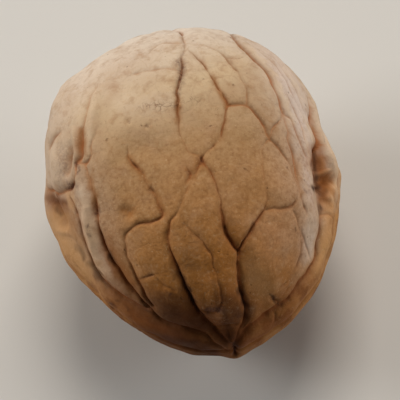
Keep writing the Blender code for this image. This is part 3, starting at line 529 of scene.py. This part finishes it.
# What is laid over that colour, in order: where, from and to which of its values it comes in, its
# greatest share and its colour
SHADES = [
    # Painted sheen on both flanks of the front
    ("flank_sheen", 0.0, 1.0, 0.72, "#b89f8a"),
    # Pale ashen skin, and painted light along the right rim ridge
    ("ashen_and_light", 0.0, 1.0, 0.78, "#d6c4b8"),
    ("film", 0.50, 0.70, 0.32, "#a98566"),
    ("mottling", 0.50, 0.72, 0.45, "#94663a"),
    ("lower grain", 0.48, 0.70, 0.50, "#7a4e28"),
    ("grain", 0.46, 0.30, 0.35, "#c6a47d"),
    ("swell", 0.55, 0.95, 0.30, "#c6ae92"),
    ("lower rim", 0.1, 1.0, 0.65, "#b37e48"),
    ("rim blotches", 0.44, 0.56, 0.70, "#74421c"),
    ("veins", 0.2, 0.9, 0.22, "#85562c"),
    ("swell", 0.30, 0.0, 0.60, "#8a5424"),
    # Warm patches, and painted shade in the hollows, the upper left and the low left
    ("warmth_and_shade", 0.1, 1.0, 0.80, "#915a26"),
    # Bleached ridges, and painted highlights on the right flank, the right rim and the left fold's bank
    ("bleached_and_highlight", 0.1, 0.9, 0.50, "#d6bd9f"),
    # Painted light where the nut lies in shade
    ("honey_light", 0.0, 1.0, 0.62, "#cc9a64"),
    ("valley", 0.1, 1.0, 0.40, "#8c5a2c"),
    ("lower valley", 0.2, 1.0, 0.45, "#7a4722"),
    ("groove", 0.05, 0.45, 0.60, "#a0683c"),
    ("lower groove", 0.20, 0.50, 0.50, "#9e5c30"),
    ("dark groove", 0.40, 0.95, 0.22, "#42200e"),
    ("cracks", 0.1, 0.8, 0.60, "#6b4526"),
    ("specks", 0.62, 0.74, 0.50, "#5a3a20"),
    ("specks", 0.38, 0.28, 0.50, "#cfb08a"),
    ("pores", 0.0, 1.0, 0.50, "#5c3a1f"),
    # Painted shade under the nut, at the tip and in the hollows
    ("russet_shade", 0.1, 1.0, 0.75, "#7a3b08"),
    ("ragged stain", 0.1, 0.9, 0.78, "#4e302a"),
    # Burnt spots, and painted shade under the rim, at the tip and in the right hollow
    ("burn_and_shade", 0.1, 0.9, 0.85, "#2e1203"),
]

# Fine relief: where, its height in millimetres, and whether it goes in
RELIEF = [("mottling", 0.10, False), ("grain", 0.07, False), ("specks", 0.03, False), ("veins", 0.03, True),
          ("cracks", 0.04, True), ("pores", 0.05, True)]


def unit(v):
    """The vectors v at length 1."""
    return v / np.linalg.norm(v, axis=-1, keepdims=True)


def fade(x):
    """0 to 1 as x goes from 0 to 1, level at both ends."""
    x = np.clip(x, 0, 1)
    return x * x * (3 - 2 * x)


def hermite(knots, values, at):
    """Smooth curve through the values at the knots, its slope at each taken across both neighbours."""
    slope = np.gradient(values, knots, axis=0)
    i = np.clip(np.searchsorted(knots, at, side="right") - 1, 0, len(knots) - 2)
    span = knots[i + 1] - knots[i]
    t = (at - knots[i]) / span
    if values.ndim > 1:
        t = t[:, None]
        span = span[:, None]
    start = (2 * t**3 - 3 * t**2 + 1) * values[i] + (t**3 - 2 * t**2 + t) * span * slope[i]
    return start + (3 * t**2 - 2 * t**3) * values[i + 1] + (t**3 - t**2) * span * slope[i + 1]


def round_the_seam(sizes, degrees):
    """A size given at angles round the seam, from 0 at the tip, at any other angle."""
    angles = np.array(sorted(sizes), float)
    values = np.array([sizes[a] for a in sorted(sizes)], float)
    angles = np.concatenate([angles[-3:] - 360, angles, angles[:3] + 360])
    values = np.concatenate([values[-3:], values, values[:3]])
    return hermite(angles, values, degrees)


def plain_radius(d):
    """Distance from the centre to the smooth nut, without its relief, along the unit directions d."""
    degrees = np.degrees(np.arctan2(d[..., 0], -d[..., 1]))
    rim_height = RIM_HEIGHT * np.where(d[..., 2] > 0, round_the_seam(RIM_SHOWS, degrees), 1.0)
    seam = round_the_seam(SEAM_RADIUS, degrees) - rim_height
    rim_half = round_the_seam(RIM_HALF_WIDTH, degrees)
    half_height = np.where(d[..., 2] > 0, FRONT_HALF_HEIGHT, REAR_HALF_HEIGHT)
    flat = np.hypot(d[..., 0], d[..., 1])
    r = ((flat / seam) ** FULLNESS + (np.abs(d[..., 2]) / half_height) ** FULLNESS) ** (-1 / FULLNESS)
    height = np.abs(r * d[..., 2])
    rim = rim_height / (1 + (height / rim_half) ** RIM_ROUNDNESS)
    crease = np.exp(-((height - rim_half - CREASE_HALF_WIDTH) / CREASE_HALF_WIDTH) ** 2)
    return r + rim - REAR_CREASE_DEPTH * crease * (d[..., 2] < 0)


def view_axes():
    """Where the photograph's eye stands, and the picture's right, up and forward, in the nut's axes."""
    tilt, roll = np.radians([VIEW_TILT, VIEW_ROLL])
    toward = np.array([0.0, -np.sin(tilt), np.cos(tilt)])
    level = np.array([1.0, 0.0, 0.0])
    rise = np.array([0.0, np.cos(tilt), np.sin(tilt)])
    right = np.cos(roll) * level - np.sin(roll) * rise
    up = np.cos(roll) * rise + np.sin(roll) * level
    return toward * VIEW_DISTANCE, right, up, -toward


def onto_the_nut(x, y, lift):
    """Points of the smooth nut that, once raised by lift, lie on the lines of sight through the pixels x,
    y, or at its edge nearest to them. The lift counts less where the nut turns away from the eye."""
    eye, right, up, forward = view_axes()
    focal = PIXELS_PER_MM * VIEW_DISTANCE
    ray = unit(
        forward
        + np.multiply.outer((x - CENTRE_PIXEL[0]) / focal, right)
        + np.multiply.outer((CENTRE_PIXEL[1] - y) / focal, up)
    )
    reach = VIEW_DISTANCE + np.linspace(-SOUGHT_BEFORE, SOUGHT_BEHIND, SOUGHT_STEPS)
    p = eye + ray[:, None, :] * reach[None, :, None]
    size = np.linalg.norm(p, axis=-1)
    smooth_gap = size - plain_radius(p / size[..., None])
    raised = np.zeros(len(p))
    # Twice, because how much the lift counts depends on where the point comes to lie
    for _ in range(2):
        gap = smooth_gap - raised[:, None]
        inside = gap <= 0
        first = np.where(inside.any(axis=1), inside.argmax(axis=1), gap.argmin(axis=1))
        d = unit(p[np.arange(len(p)), first])
        raised = lift * fade((-(d @ forward) - DEPTH_COUNTS_FROM) / DEPTH_COUNTS_OVER)
    return d * plain_radius(d)[:, None]


def traced(points, rise, spacing=3.0):
    """A traced line made smooth and laid on the nut, in points about spacing pixels apart, with its depth or
    height at each. The surface there stands rise times that value above the smooth nut."""
    picked = np.array(points, float)
    run = np.concatenate([[0], np.cumsum(np.hypot(*np.diff(picked[:, :2], axis=0).T))])
    at = np.linspace(0, run[-1], max(2, int(run[-1] / spacing) + 1))
    line = hermite(run, picked, at)
    return onto_the_nut(line[:, 0], line[:, 1], rise * line[:, 2]), line[:, 2]


def beside(p, line, value, reach):
    """Which points p may be within reach of the line, each one's way to it, and the line's value
    there."""
    middle = line.mean(axis=0)
    far = np.linalg.norm(line - middle, axis=1).max() + reach
    near = np.flatnonzero(np.linalg.norm(p - middle, axis=1) < far)
    piece = np.diff(line, axis=0)
    from_start = p[near][:, None, :] - line[None, :-1]
    t = np.clip((from_start * piece).sum(-1) / np.maximum((piece * piece).sum(-1), 1e-9), 0, 1)
    way = t[..., None] * piece - from_start
    k = (way * way).sum(-1).argmin(axis=1)
    row = np.arange(len(near))
    return near, way[row, k], value[k] + t[row, k] * (value[k + 1] - value[k])


def waves(p, length, seed):
    """Smooth uneven height, mostly within -1 to 1: a sum of waves of about this length in seeded
    directions."""
    rng = np.random.default_rng(seed)
    way = unit(rng.normal(size=(WAVE_COUNT, 3)))
    way *= 2 * np.pi / (length * rng.uniform(*WAVE_SPREAD, (WAVE_COUNT, 1)))
    total = np.cos(p @ way.T + rng.uniform(0, 2 * np.pi, WAVE_COUNT)).sum(axis=1)
    return total / np.sqrt(2 * WAVE_COUNT)


def net_gap(p):
    """Distance in millimetres from points p to the nearest border of a net of long cells from stem to
    tip.

    The nut is unrolled onto a short cylinder, bent a little by waves, and each point there belongs to the
    nearest of the cells' seeds. The distance to a border is that to the plane midway between two seeds,
    turned back into millimetres on the nut."""
    rng = np.random.default_rng(NET_SEED)
    around = np.arctan2(p[:, 0], p[:, 2])
    out = np.maximum(np.hypot(p[:, 0], p[:, 2]), NET_LEAST_RADIUS)
    bend = NET_BEND * np.stack([waves(p, length, seed) for length, seed in NET_BENDS], -1)
    unrolled = [NET_RADIUS * np.sin(around), NET_SQUEEZE * p[:, 1], NET_RADIUS * np.cos(around)]
    q = np.stack(unrolled, -1) + bend
    row, column = np.meshgrid(np.arange(NET_ROWS), np.arange(NET_COLUMNS), indexing="ij")
    jitter = rng.uniform(-NET_JITTER, NET_JITTER, (2,) + row.shape)
    along = ((row + 0.5 + jitter[0]) / NET_ROWS - 0.5) * NET_LENGTH
    angle = (column + 0.5 * (row % 2) + jitter[1]) / NET_COLUMNS * 2 * np.pi
    seeds = np.stack([NET_RADIUS * np.sin(angle), along, NET_RADIUS * np.cos(angle)], -1).reshape(-1, 3)
    far = ((q[:, None, :] - seeds[None]) ** 2).sum(-1)
    own = far.argmin(axis=1)
    index = np.arange(len(p))
    apart = seeds[None] - seeds[own][:, None, :]
    span = np.maximum(np.linalg.norm(apart, axis=-1), 1e-9)
    gap = (far - far[index, own][:, None]) / (2 * span)
    gap[index, own] = np.inf
    other = gap.argmin(axis=1)
    across = apart[index, other] / span[index, other][:, None]
    turn = (across[:, 0] * np.cos(around) - across[:, 2] * np.sin(around)) * NET_RADIUS / out
    slope = np.hypot(turn, NET_SQUEEZE * across[:, 1])
    return gap[index, other] / np.maximum(slope, NET_LEAST_SLOPE)


def groove_lines():
    """Each groove's half width, line and depth. The first, the crown's, also runs on over the top to the
    stem. What was traced is the dark bank, halfway down."""
    halfway = -(LINE_SHARE + VALLEY_SHARE) / 2
    lines = [(half, *traced(points, halfway)) for half, points in GROOVES.values()]
    half, crown, depth = lines[0]
    on = unit(np.linspace(crown[0], [0, SEAM_RADIUS[180], 0], RUN_ON_POINTS))
    return lines + [(half, on * plain_radius(on)[:, None], np.full(RUN_ON_POINTS, depth[0]))]


def turned_away(p):
    """0 where the photograph shows the nut, 1 well round its far side, fading between."""
    facing = (unit(p) * unit(view_axes()[0] - p)).sum(-1)
    return fade((HIDDEN_FROM - facing) / HIDDEN_OVER)


def grooves(p):
    """Depth at points p of the grooves' sharp lines, and of the wide valleys round them."""
    line_cut = np.zeros(len(p))
    valley = np.zeros(len(p))
    strayed = p + STRAY * np.stack([waves(p, STRAY_LENGTH, seed) for seed in STRAY_SEEDS], -1)
    for half, line, depth in groove_lines():
        near, way, deep = beside(strayed, line, depth, GROOVE_REACH)
        gap = np.linalg.norm(way, axis=-1)
        wide = half * (SHALLOW_WIDTH + (1 - SHALLOW_WIDTH) * deep)
        sharp = deep**LINE_FALL_OFF
        line_cut[near] = np.maximum(line_cut[near], sharp * np.exp(-((gap / (LINE_WIDTH * wide)) ** 2)))
        valley[near] = np.maximum(valley[near], deep * np.exp(-((gap / (VALLEY_WIDTH * wide)) ** 2)))
    away = turned_away(p)
    hidden = np.flatnonzero(away > 0)
    h = p[hidden]
    gap = net_gap(h)
    off_the_rim = np.clip((np.abs(h[:, 2]) - NET_OFF_SEAM) / NET_OFF_SEAM_OVER, 0, 1)
    deep = np.clip(NET_DEPTH + NET_DEPTH_VARIES * waves(h, *NET_DEPTH_WAVES), *NET_DEPTH_LIMITS)
    deep *= off_the_rim * away[hidden]
    line_cut[hidden] = np.maximum(line_cut[hidden], deep * np.exp(-((gap / NET_LINE_WIDTH) ** 2)))
    valley[hidden] = np.maximum(valley[hidden], deep * np.exp(-((gap / NET_VALLEY_WIDTH) ** 2)))
    return line_cut, valley


def suture(p):
    """Depth at points p of the fine seam that runs a little unevenly along the middle of the rim."""
    off = p[:, 2] + SUTURE_STRAY * waves(p, SUTURE_STRAY_LENGTH, SUTURE_SEED)
    return SUTURE_DEPTH * np.exp(-((off / SUTURE_HALF_WIDTH) ** 2))


def relief_left(p):
    """The share of the relief that is left at points p: it is calm round the resting spot."""
    return np.where(p[:, 2] < 0, fade((np.hypot(p[:, 0], p[:, 1]) - CALM_RADIUS) / CALM_FADE), 1)


def swelling(p):
    """Height of all that isn't a groove: folds, uneven growth, the rim's own swelling, and the stem
    scar."""
    high = sum(size * waves(p, length, seed) for size, length, seed in UNEVEN_SHELL)
    for half, points in FOLDS.values():
        line, height = traced(points, 1.0)
        near, way, value = beside(p, line, height, FADED_OUT * half)
        high[near] += value * np.exp(-((way / half) ** 2).sum(-1))
    rim = sum(size * waves(p, length, seed) for size, length, seed in UNEVEN_RIM)
    high += rim / (1 + (p[:, 2] / UNEVEN_RIM_HALF_WIDTH) ** UNEVEN_RIM_FALL_OFF)
    from_stem = np.linalg.norm(p - np.array([0, SEAM_RADIUS[180], 0]), axis=1)
    high += SCAR_LIP_HEIGHT * np.exp(-(((from_stem - SCAR_LIP_RADIUS) / SCAR_LIP_HALF_WIDTH) ** 2))
    return high - SCAR_DEPTH * np.exp(-((from_stem / SCAR_RADIUS) ** SCAR_FLATNESS))


def wrapped_grid(n):
    """Unit directions and quads of a closed ball: a cube of n by n squares a side, its corners evened out
    by tan, blown up to a sphere and drawn a little toward the camera so that the squares are smaller
    there."""
    i, j = np.meshgrid(np.arange(n + 1), np.arange(n + 1), indexing="ij")
    far = np.full_like(i, n)
    near = np.zeros_like(i)
    sides = [(i, j, far), (j, i, near), (far, i, j), (near, j, i), (j, far, i), (i, near, j)]
    grid = np.stack([np.stack(side, -1) for side in sides]).reshape(-1, 3)
    lattice, index = np.unique(grid, axis=0, return_inverse=True)
    index = index.reshape(6, n + 1, n + 1)
    corners = [index[:, :-1, :-1], index[:, 1:, :-1], index[:, 1:, 1:], index[:, :-1, 1:]]
    quads = np.stack(corners, -1).reshape(-1, 4)
    d = unit(np.tan((lattice / n - 0.5) * np.pi / 2))
    toward = -view_axes()[3]
    return unit(d + FINER_IN_VIEW * toward), quads


def gathered(d):
    """Directions d moved toward the nearest groove's line, up to GATHER of the way, for finer squares in
    it."""
    p = d * plain_radius(d)[:, None]
    gap = np.full(len(p), np.inf)
    move = np.zeros_like(p)
    for _, line, depth in groove_lines():
        near, way, _ = beside(p, line, depth, GATHER_FROM)
        size = np.linalg.norm(way, axis=-1)
        closer = size < gap[near]
        gap[near[closer]] = size[closer]
        move[near[closer]] = way[closer]
    return unit(p + GATHER * np.exp(-((gap / GATHER_REACH) ** 2))[:, None] * move)


def painted(q, marks):
    """How strongly the marks colour the points q, 0 to 1. The points are taken as the photograph shows
    them, and each mark fades off sideways from the line through its own pixels, and round the side turned
    away."""
    eye, right, up, forward = view_axes()
    far = q - eye
    depth = far @ forward
    flat = np.stack([far @ right / depth, -far @ up / depth, 0 * depth], -1) * VIEW_DISTANCE
    strayed = [waves(q, MARK_STRAY_LENGTH, seed) for seed in MARK_SEEDS]
    flat += MARK_STRAY * np.stack([*strayed, 0 * depth], -1)
    strength = np.zeros(len(q))
    for half, points in marks.values():
        line = np.array(points)
        value = line[:, 2].copy()
        line = np.column_stack([line[:, :2] - CENTRE_PIXEL, 0 * value]) / PIXELS_PER_MM
        near, way, value = beside(flat, line, value, FADED_OUT * half)
        strength[near] = np.maximum(strength[near], value * np.exp(-((way / half) ** 2).sum(-1)))
    return strength * (1 - turned_away(q))


def fine_shell():
    """The shell's points, quads and, at each point, what its material reads: values from 0 to about 1."""
    d, quads = wrapped_grid(GRID)
    d = gathered(d)
    p = d * plain_radius(d)[:, None]
    line_cut, valley = grooves(p)
    seam = suture(p)
    swell = swelling(p)
    height = swell - LINE_SHARE * line_cut - VALLEY_SHARE * valley - seam
    calm = relief_left(p)
    q = p + d * (height * calm)[:, None]
    floor = REST_CUT - REAR_HALF_HEIGHT
    q *= np.where(q[:, 2] < floor, floor / np.minimum(q[:, 2], -1e-9), 1)[:, None]
    values = {
        "groove": np.clip(line_cut * calm + seam, 0, GROOVE_LIMIT),
        "valley": np.clip(valley * calm, 0, GROOVE_LIMIT),
        "swell": np.clip(SWELL_MIDDLE + SWELL_PER_MM * swell, 0, 1),
        "rim": 1 / (1 + (np.abs(p[:, 2]) / RIM_BAND_HALF_WIDTH) ** RIM_BAND_FALL_OFF),
    }
    for name, marks in MARKS.items():
        values[name] = painted(q, marks)
    return (q + NUT_CENTRE) * MM, quads, values


def mesh_object(name, points, quads, values):
    """A smooth-shaded mesh of quads in the scene, with an attribute at its points for each of values."""
    mesh = bpy.data.meshes.new(name)
    mesh.vertices.add(len(points))
    mesh.vertices.foreach_set("co", points.astype(np.float32).ravel())
    mesh.loops.add(quads.size)
    mesh.loops.foreach_set("vertex_index", quads.astype(np.int32).ravel())
    mesh.polygons.add(len(quads))
    mesh.polygons.foreach_set("loop_start", np.arange(0, quads.size, 4, dtype=np.int32))
    mesh.update(calc_edges=True)
    mesh.polygons.foreach_set("use_smooth", np.ones(len(quads), bool))
    for key, value in values.items():
        layer = mesh.attributes.new(key, "FLOAT", "POINT")
        layer.data.foreach_set("value", value.astype(np.float32))
    piece = bpy.data.objects.new(name, mesh)
    bpy.context.scene.collection.objects.link(piece)
    return piece


def linear(code):
    """An sRGB hex colour as linear red, green, blue and alpha."""
    parts = [int(code[k:k + 2], 16) / 255 for k in (1, 3, 5)]
    return tuple(c / 12.92 if c <= 0.04045 else ((c + 0.055) / 1.055) ** 2.4 for c in parts) + (1.0,)


def add(tree, kind, inputs, **settings):
    """Adds a node: settings are its properties, and inputs gives its sockets, each a value or a link."""
    node = tree.nodes.new(kind)
    for key, value in settings.items():
        setattr(node, key, value)
    for key, value in inputs.items():
        if isinstance(value, bpy.types.NodeSocket):
            tree.links.new(value, node.inputs[key])
        else:
            node.inputs[key].default_value = value
    return node


def dry_nutshell():
    """Walnut shell: a dry woody nutshell, brushed clean as it was picked. It is matt tan, paler toward the
    stem and on its ridges, partly bleached and partly painted sheen and highlights, warmer brown in its
    hollows, under it and toward the tip, partly its own colour and partly painted shade, and dark down in
    its grooves."""
    material = bpy.data.materials.new("dry walnut shell")
    material.use_nodes = True
    tree = material.node_tree
    shader = tree.nodes["Principled BSDF"]
    place = add(tree, "ShaderNodeTexCoord", {}).outputs["Object"]
    value = {}
    for name in ("groove", "valley", "swell", "rim", *MARKS):
        value[name] = add(tree, "ShaderNodeAttribute", {}, attribute_name=name).outputs["Fac"]

    # Uneven growth, each by the size of its patches in millimetres, their detail and roughness
    for name, size, detail, rough in (
        ("blotches", 6.0, 3.0, 0.50),
        ("film", 2.6, 4.0, 0.60),
        ("mottling", 1.5, 4.0, 0.65),
        ("grain", 0.55, 5.0, 0.70),
        ("specks", 0.32, 4.0, 0.70),
        ("bare patches", 4.5, 2.0, 0.50),
    ):
        inputs = {"Vector": place, "Scale": 1 / (size * MM), "Detail": detail, "Roughness": rough}
        value[name] = add(tree, "ShaderNodeTexNoise", inputs).outputs["Fac"]

    # Fine veins and crazing are the borders of small cells, there only in part. A noise with patches of
    # 1.6 mm bends the cells by up to 1.4 mm, and a border's half width is 0.07 of a cell. Pores are the
    # middles of other cells.
    drift = add(tree, "ShaderNodeTexNoise", {"Vector": place, "Scale": 1 / (1.6 * MM), "Detail": 3.0})
    inputs = {0: drift.outputs["Color"], 1: (1.4 * MM,) * 3, 2: place}
    bent = add(tree, "ShaderNodeVectorMath", inputs, operation="MULTIPLY_ADD").outputs["Vector"]
    for name, size, where in (("veins", 3.4, "bare patches"), ("cracks", 0.62, "crazing")):
        inputs = {"Vector": bent, "Scale": 1 / (size * MM)}
        cells = add(tree, "ShaderNodeTexVoronoi", inputs, feature="DISTANCE_TO_EDGE")
        inputs = {"Value": cells.outputs["Distance"], "From Max": 0.07, "To Min": 1.0, "To Max": 0.0}
        inputs = {0: add(tree, "ShaderNodeMapRange", inputs).outputs["Result"], 1: value[where]}
        value[name] = add(tree, "ShaderNodeMath", inputs, operation="MULTIPLY").outputs["Value"]
    cells = add(tree, "ShaderNodeTexVoronoi", {"Vector": bent, "Scale": 1 / (2.3 * MM)})
    inputs = {"Value": cells.outputs["Distance"], "From Min": 0.04, "From Max": 0.085, "To Min": 1.0,
              "To Max": 0.0}
    value["pores"] = add(tree, "ShaderNodeMapRange", inputs).outputs["Result"]

    # Colour from tip to stem, with painted shade toward the tip and a painted sheen toward the stem, its
    # bounds blurred by the blotches
    split = add(tree, "ShaderNodeSeparateXYZ", {"Vector": place})
    inputs = {"Value": split.outputs["Y"], "From Min": TIP_END, "From Max": STEM_END}
    along = add(tree, "ShaderNodeMapRange", inputs).outputs["Result"]
    inputs = {"Value": value["blotches"], "From Min": 0.3, "From Max": 0.7, "To Min": -0.03, "To Max": 0.03}
    blur = add(tree, "ShaderNodeMapRange", inputs).outputs["Result"]
    along = add(tree, "ShaderNodeMath", {0: along, 1: blur}, operation="ADD").outputs["Value"]
    ramp = add(tree, "ShaderNodeValToRGB", {"Fac": along})
    ends = ramp.color_ramp.elements
    ends[0].color = linear(TIP_COLOUR_AND_SHADE)
    ends[1].color = linear(STEM_COLOUR_AND_SHEEN)
    for at, code in TIP_TO_STEM_TONE_AND_LIGHT:
        ends.new(at).color = linear(code)
    colour = ramp.outputs["Color"]

    # Both flanks of the front made paler, a painted sheen: by the distance from the middle and the height
    side = add(tree, "ShaderNodeMath", {0: split.outputs["X"]}, operation="ABSOLUTE").outputs["Value"]
    inputs = {"Value": side, "From Min": 8 * MM, "From Max": 15 * MM}
    out = add(tree, "ShaderNodeMapRange", inputs).outputs["Result"]
    inputs = {"Value": split.outputs["Z"], "From Min": 16 * MM, "From Max": 20 * MM}
    upper = add(tree, "ShaderNodeMapRange", inputs).outputs["Result"]
    value["flank_sheen"] = add(tree, "ShaderNodeMath", {0: out, 1: upper}, operation="MULTIPLY").outputs["Value"]

    # The lower half's grooves are darker and its grain shows more, and the rim is blotchy
    inputs = {"Value": along, "From Min": 0.80, "From Max": 0.45, "To Min": 0.70, "To Max": 1.0}
    value["lower"] = add(tree, "ShaderNodeMapRange", inputs).outputs["Result"]
    inputs = {"Value": along, "From Min": 0.62, "From Max": 0.42}
    value["tipward"] = add(tree, "ShaderNodeMapRange", inputs).outputs["Result"]
    inputs = {"Value": value["mottling"], "From Min": 0.40, "From Max": 0.60, "To Min": 0.45, "To Max": 1.10}
    value["beads"] = add(tree, "ShaderNodeMapRange", inputs).outputs["Result"]
    inputs = {"Value": value["specks"], "From Min": 0.38, "From Max": 0.58, "To Min": 0.45, "To Max": 1.15}
    value["ragged"] = add(tree, "ShaderNodeMapRange", inputs).outputs["Result"]
    for name, one, other in (
        ("lower grain", "lower", "grain"),
        ("lower groove", "lower", "groove"),
        ("dark groove", "beads", "lower groove"),
        ("lower valley", "tipward", "valley"),
        ("ragged stain", "ragged", "stain"),
        ("lower rim", "tipward", "rim"),
        ("rim blotches", "lower rim", "film"),
    ):
        inputs = {0: value[one], 1: value[other]}
        value[name] = add(tree, "ShaderNodeMath", inputs, operation="MULTIPLY").outputs["Value"]

    for name, low, high, share, code in SHADES:
        inputs = {"Value": value[name], "From Min": low, "From Max": high, "To Min": 0.0, "To Max": share}
        amount = add(tree, "ShaderNodeMapRange", inputs).outputs["Result"]
        inputs = {0: amount, 6: colour, 7: linear(code)}
        colour = add(tree, "ShaderNodeMix", inputs, data_type="RGBA").outputs[2]
    tree.links.new(colour, shader.inputs["Base Color"])

    # Dry and matt, roughest in the brown mottles, with only a faint sheen
    inputs = {"Value": value["mottling"], "From Min": 0.3, "From Max": 0.7, "To Min": 0.60, "To Max": 0.75}
    tree.links.new(add(tree, "ShaderNodeMapRange", inputs).outputs["Result"], shader.inputs["Roughness"])
    shader.inputs["IOR"].default_value = 1.5
    shader.inputs["Specular IOR Level"].default_value = 0.10

    # Fine relief for the eye to catch: woody grain stands up, and veins, cracks and pores go in
    normal = None
    for name, height, sunk in RELIEF:
        inputs = {"Height": value[name], "Strength": 1.0, "Distance": height * MM}
        if normal:
            inputs["Normal"] = normal
        normal = add(tree, "ShaderNodeBump", inputs, invert=sunk).outputs["Normal"]
    tree.links.new(normal, shader.inputs["Normal"])
    return material


def pale_floor():
    """A painted board: pale, matt, even grey."""
    half = FLOOR_SIZE / 2
    mesh = bpy.data.meshes.new("floor")
    corners = [(-half, -half, 0), (half, -half, 0), (half, half, 0), (-half, half, 0)]
    mesh.from_pydata(corners, [], [(0, 1, 2, 3)])
    floor = bpy.data.objects.new("floor", mesh)
    bpy.context.scene.collection.objects.link(floor)
    material = bpy.data.materials.new("matt painted board")
    material.use_nodes = True
    shader = material.node_tree.nodes["Principled BSDF"]
    shader.inputs["Base Color"].default_value = linear("#cfccc6")
    shader.inputs["Roughness"].default_value = 0.9
    mesh.materials.append(material)


def soft_lamp(name, toward, watts, colour="#ffffff"):
    """A square softbox that faces the nut from the direction toward."""
    light = bpy.data.lights.new(name, "AREA")
    light.shape = "SQUARE"
    light.size = SOFTBOX_SIZE
    light.energy = watts
    light.color = linear(colour)[:3]
    lamp = bpy.data.objects.new(name, light)
    at = Vector(toward).normalized()
    lamp.location = Vector(NUT_CENTRE) * MM + at * SOFTBOX_DISTANCE
    lamp.rotation_mode = "QUATERNION"
    lamp.rotation_quaternion = at.to_track_quat("Z", "Y")
    bpy.context.scene.collection.objects.link(lamp)


def studio():
    """A dim even room, a warm key softbox above and a softbox on each side, all set about the camera's
    view."""
    world = bpy.data.worlds.new("studio")
    bpy.context.scene.world = world
    world.use_nodes = True
    back = world.node_tree.nodes["Background"]
    back.inputs["Color"].default_value = linear("#f2f4f7")
    back.inputs["Strength"].default_value = 0.05
    _, right, up, forward = view_axes()
    soft_lamp("key softbox", 0.82 * up - 0.58 * forward, watts=2.45, colour="#fff8f0")
    soft_lamp("left softbox", 0.25 * up - 0.25 * forward - 0.94 * right, watts=2.3)
    soft_lamp("right softbox", 0.25 * up - 0.25 * forward + 0.94 * right, watts=1.6)
    bpy.context.scene.view_settings.view_transform = "Standard"


def photo_camera():
    """The camera at the photograph's own viewing angle, far off behind a long lens."""
    eye, right, up, forward = view_axes()
    data = bpy.data.cameras.new("camera")
    data.sensor_fit = "HORIZONTAL"
    data.sensor_width = SENSOR_WIDTH
    data.lens = PIXELS_PER_MM * VIEW_DISTANCE * SENSOR_WIDTH / PICTURE_PIXELS
    data.shift_x = (PICTURE_PIXELS / 2 - CENTRE_PIXEL[0]) / PICTURE_PIXELS
    data.shift_y = (CENTRE_PIXEL[1] - PICTURE_PIXELS / 2) / PICTURE_PIXELS
    data.dof.use_dof = False
    camera = bpy.data.objects.new("camera", data)
    turn = Matrix([[right[k], up[k], -forward[k]] for k in range(3)])
    place = (Vector(NUT_CENTRE) + Vector(eye)) * MM
    camera.matrix_world = Matrix.Translation(place) @ turn.to_4x4()
    bpy.context.scene.collection.objects.link(camera)
    bpy.context.scene.camera = camera


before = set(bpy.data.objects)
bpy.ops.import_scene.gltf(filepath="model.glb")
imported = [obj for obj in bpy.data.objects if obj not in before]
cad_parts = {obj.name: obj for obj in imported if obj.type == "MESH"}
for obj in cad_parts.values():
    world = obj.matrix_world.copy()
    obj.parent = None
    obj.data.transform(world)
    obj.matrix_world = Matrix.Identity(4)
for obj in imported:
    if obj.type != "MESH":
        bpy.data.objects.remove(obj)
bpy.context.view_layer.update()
shell = mesh_object("walnut_fine_shell", *fine_shell())
shell.data.materials.append(dry_nutshell())
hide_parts("walnut_shell")
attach(shell, "root")
pale_floor()
studio()
photo_camera()
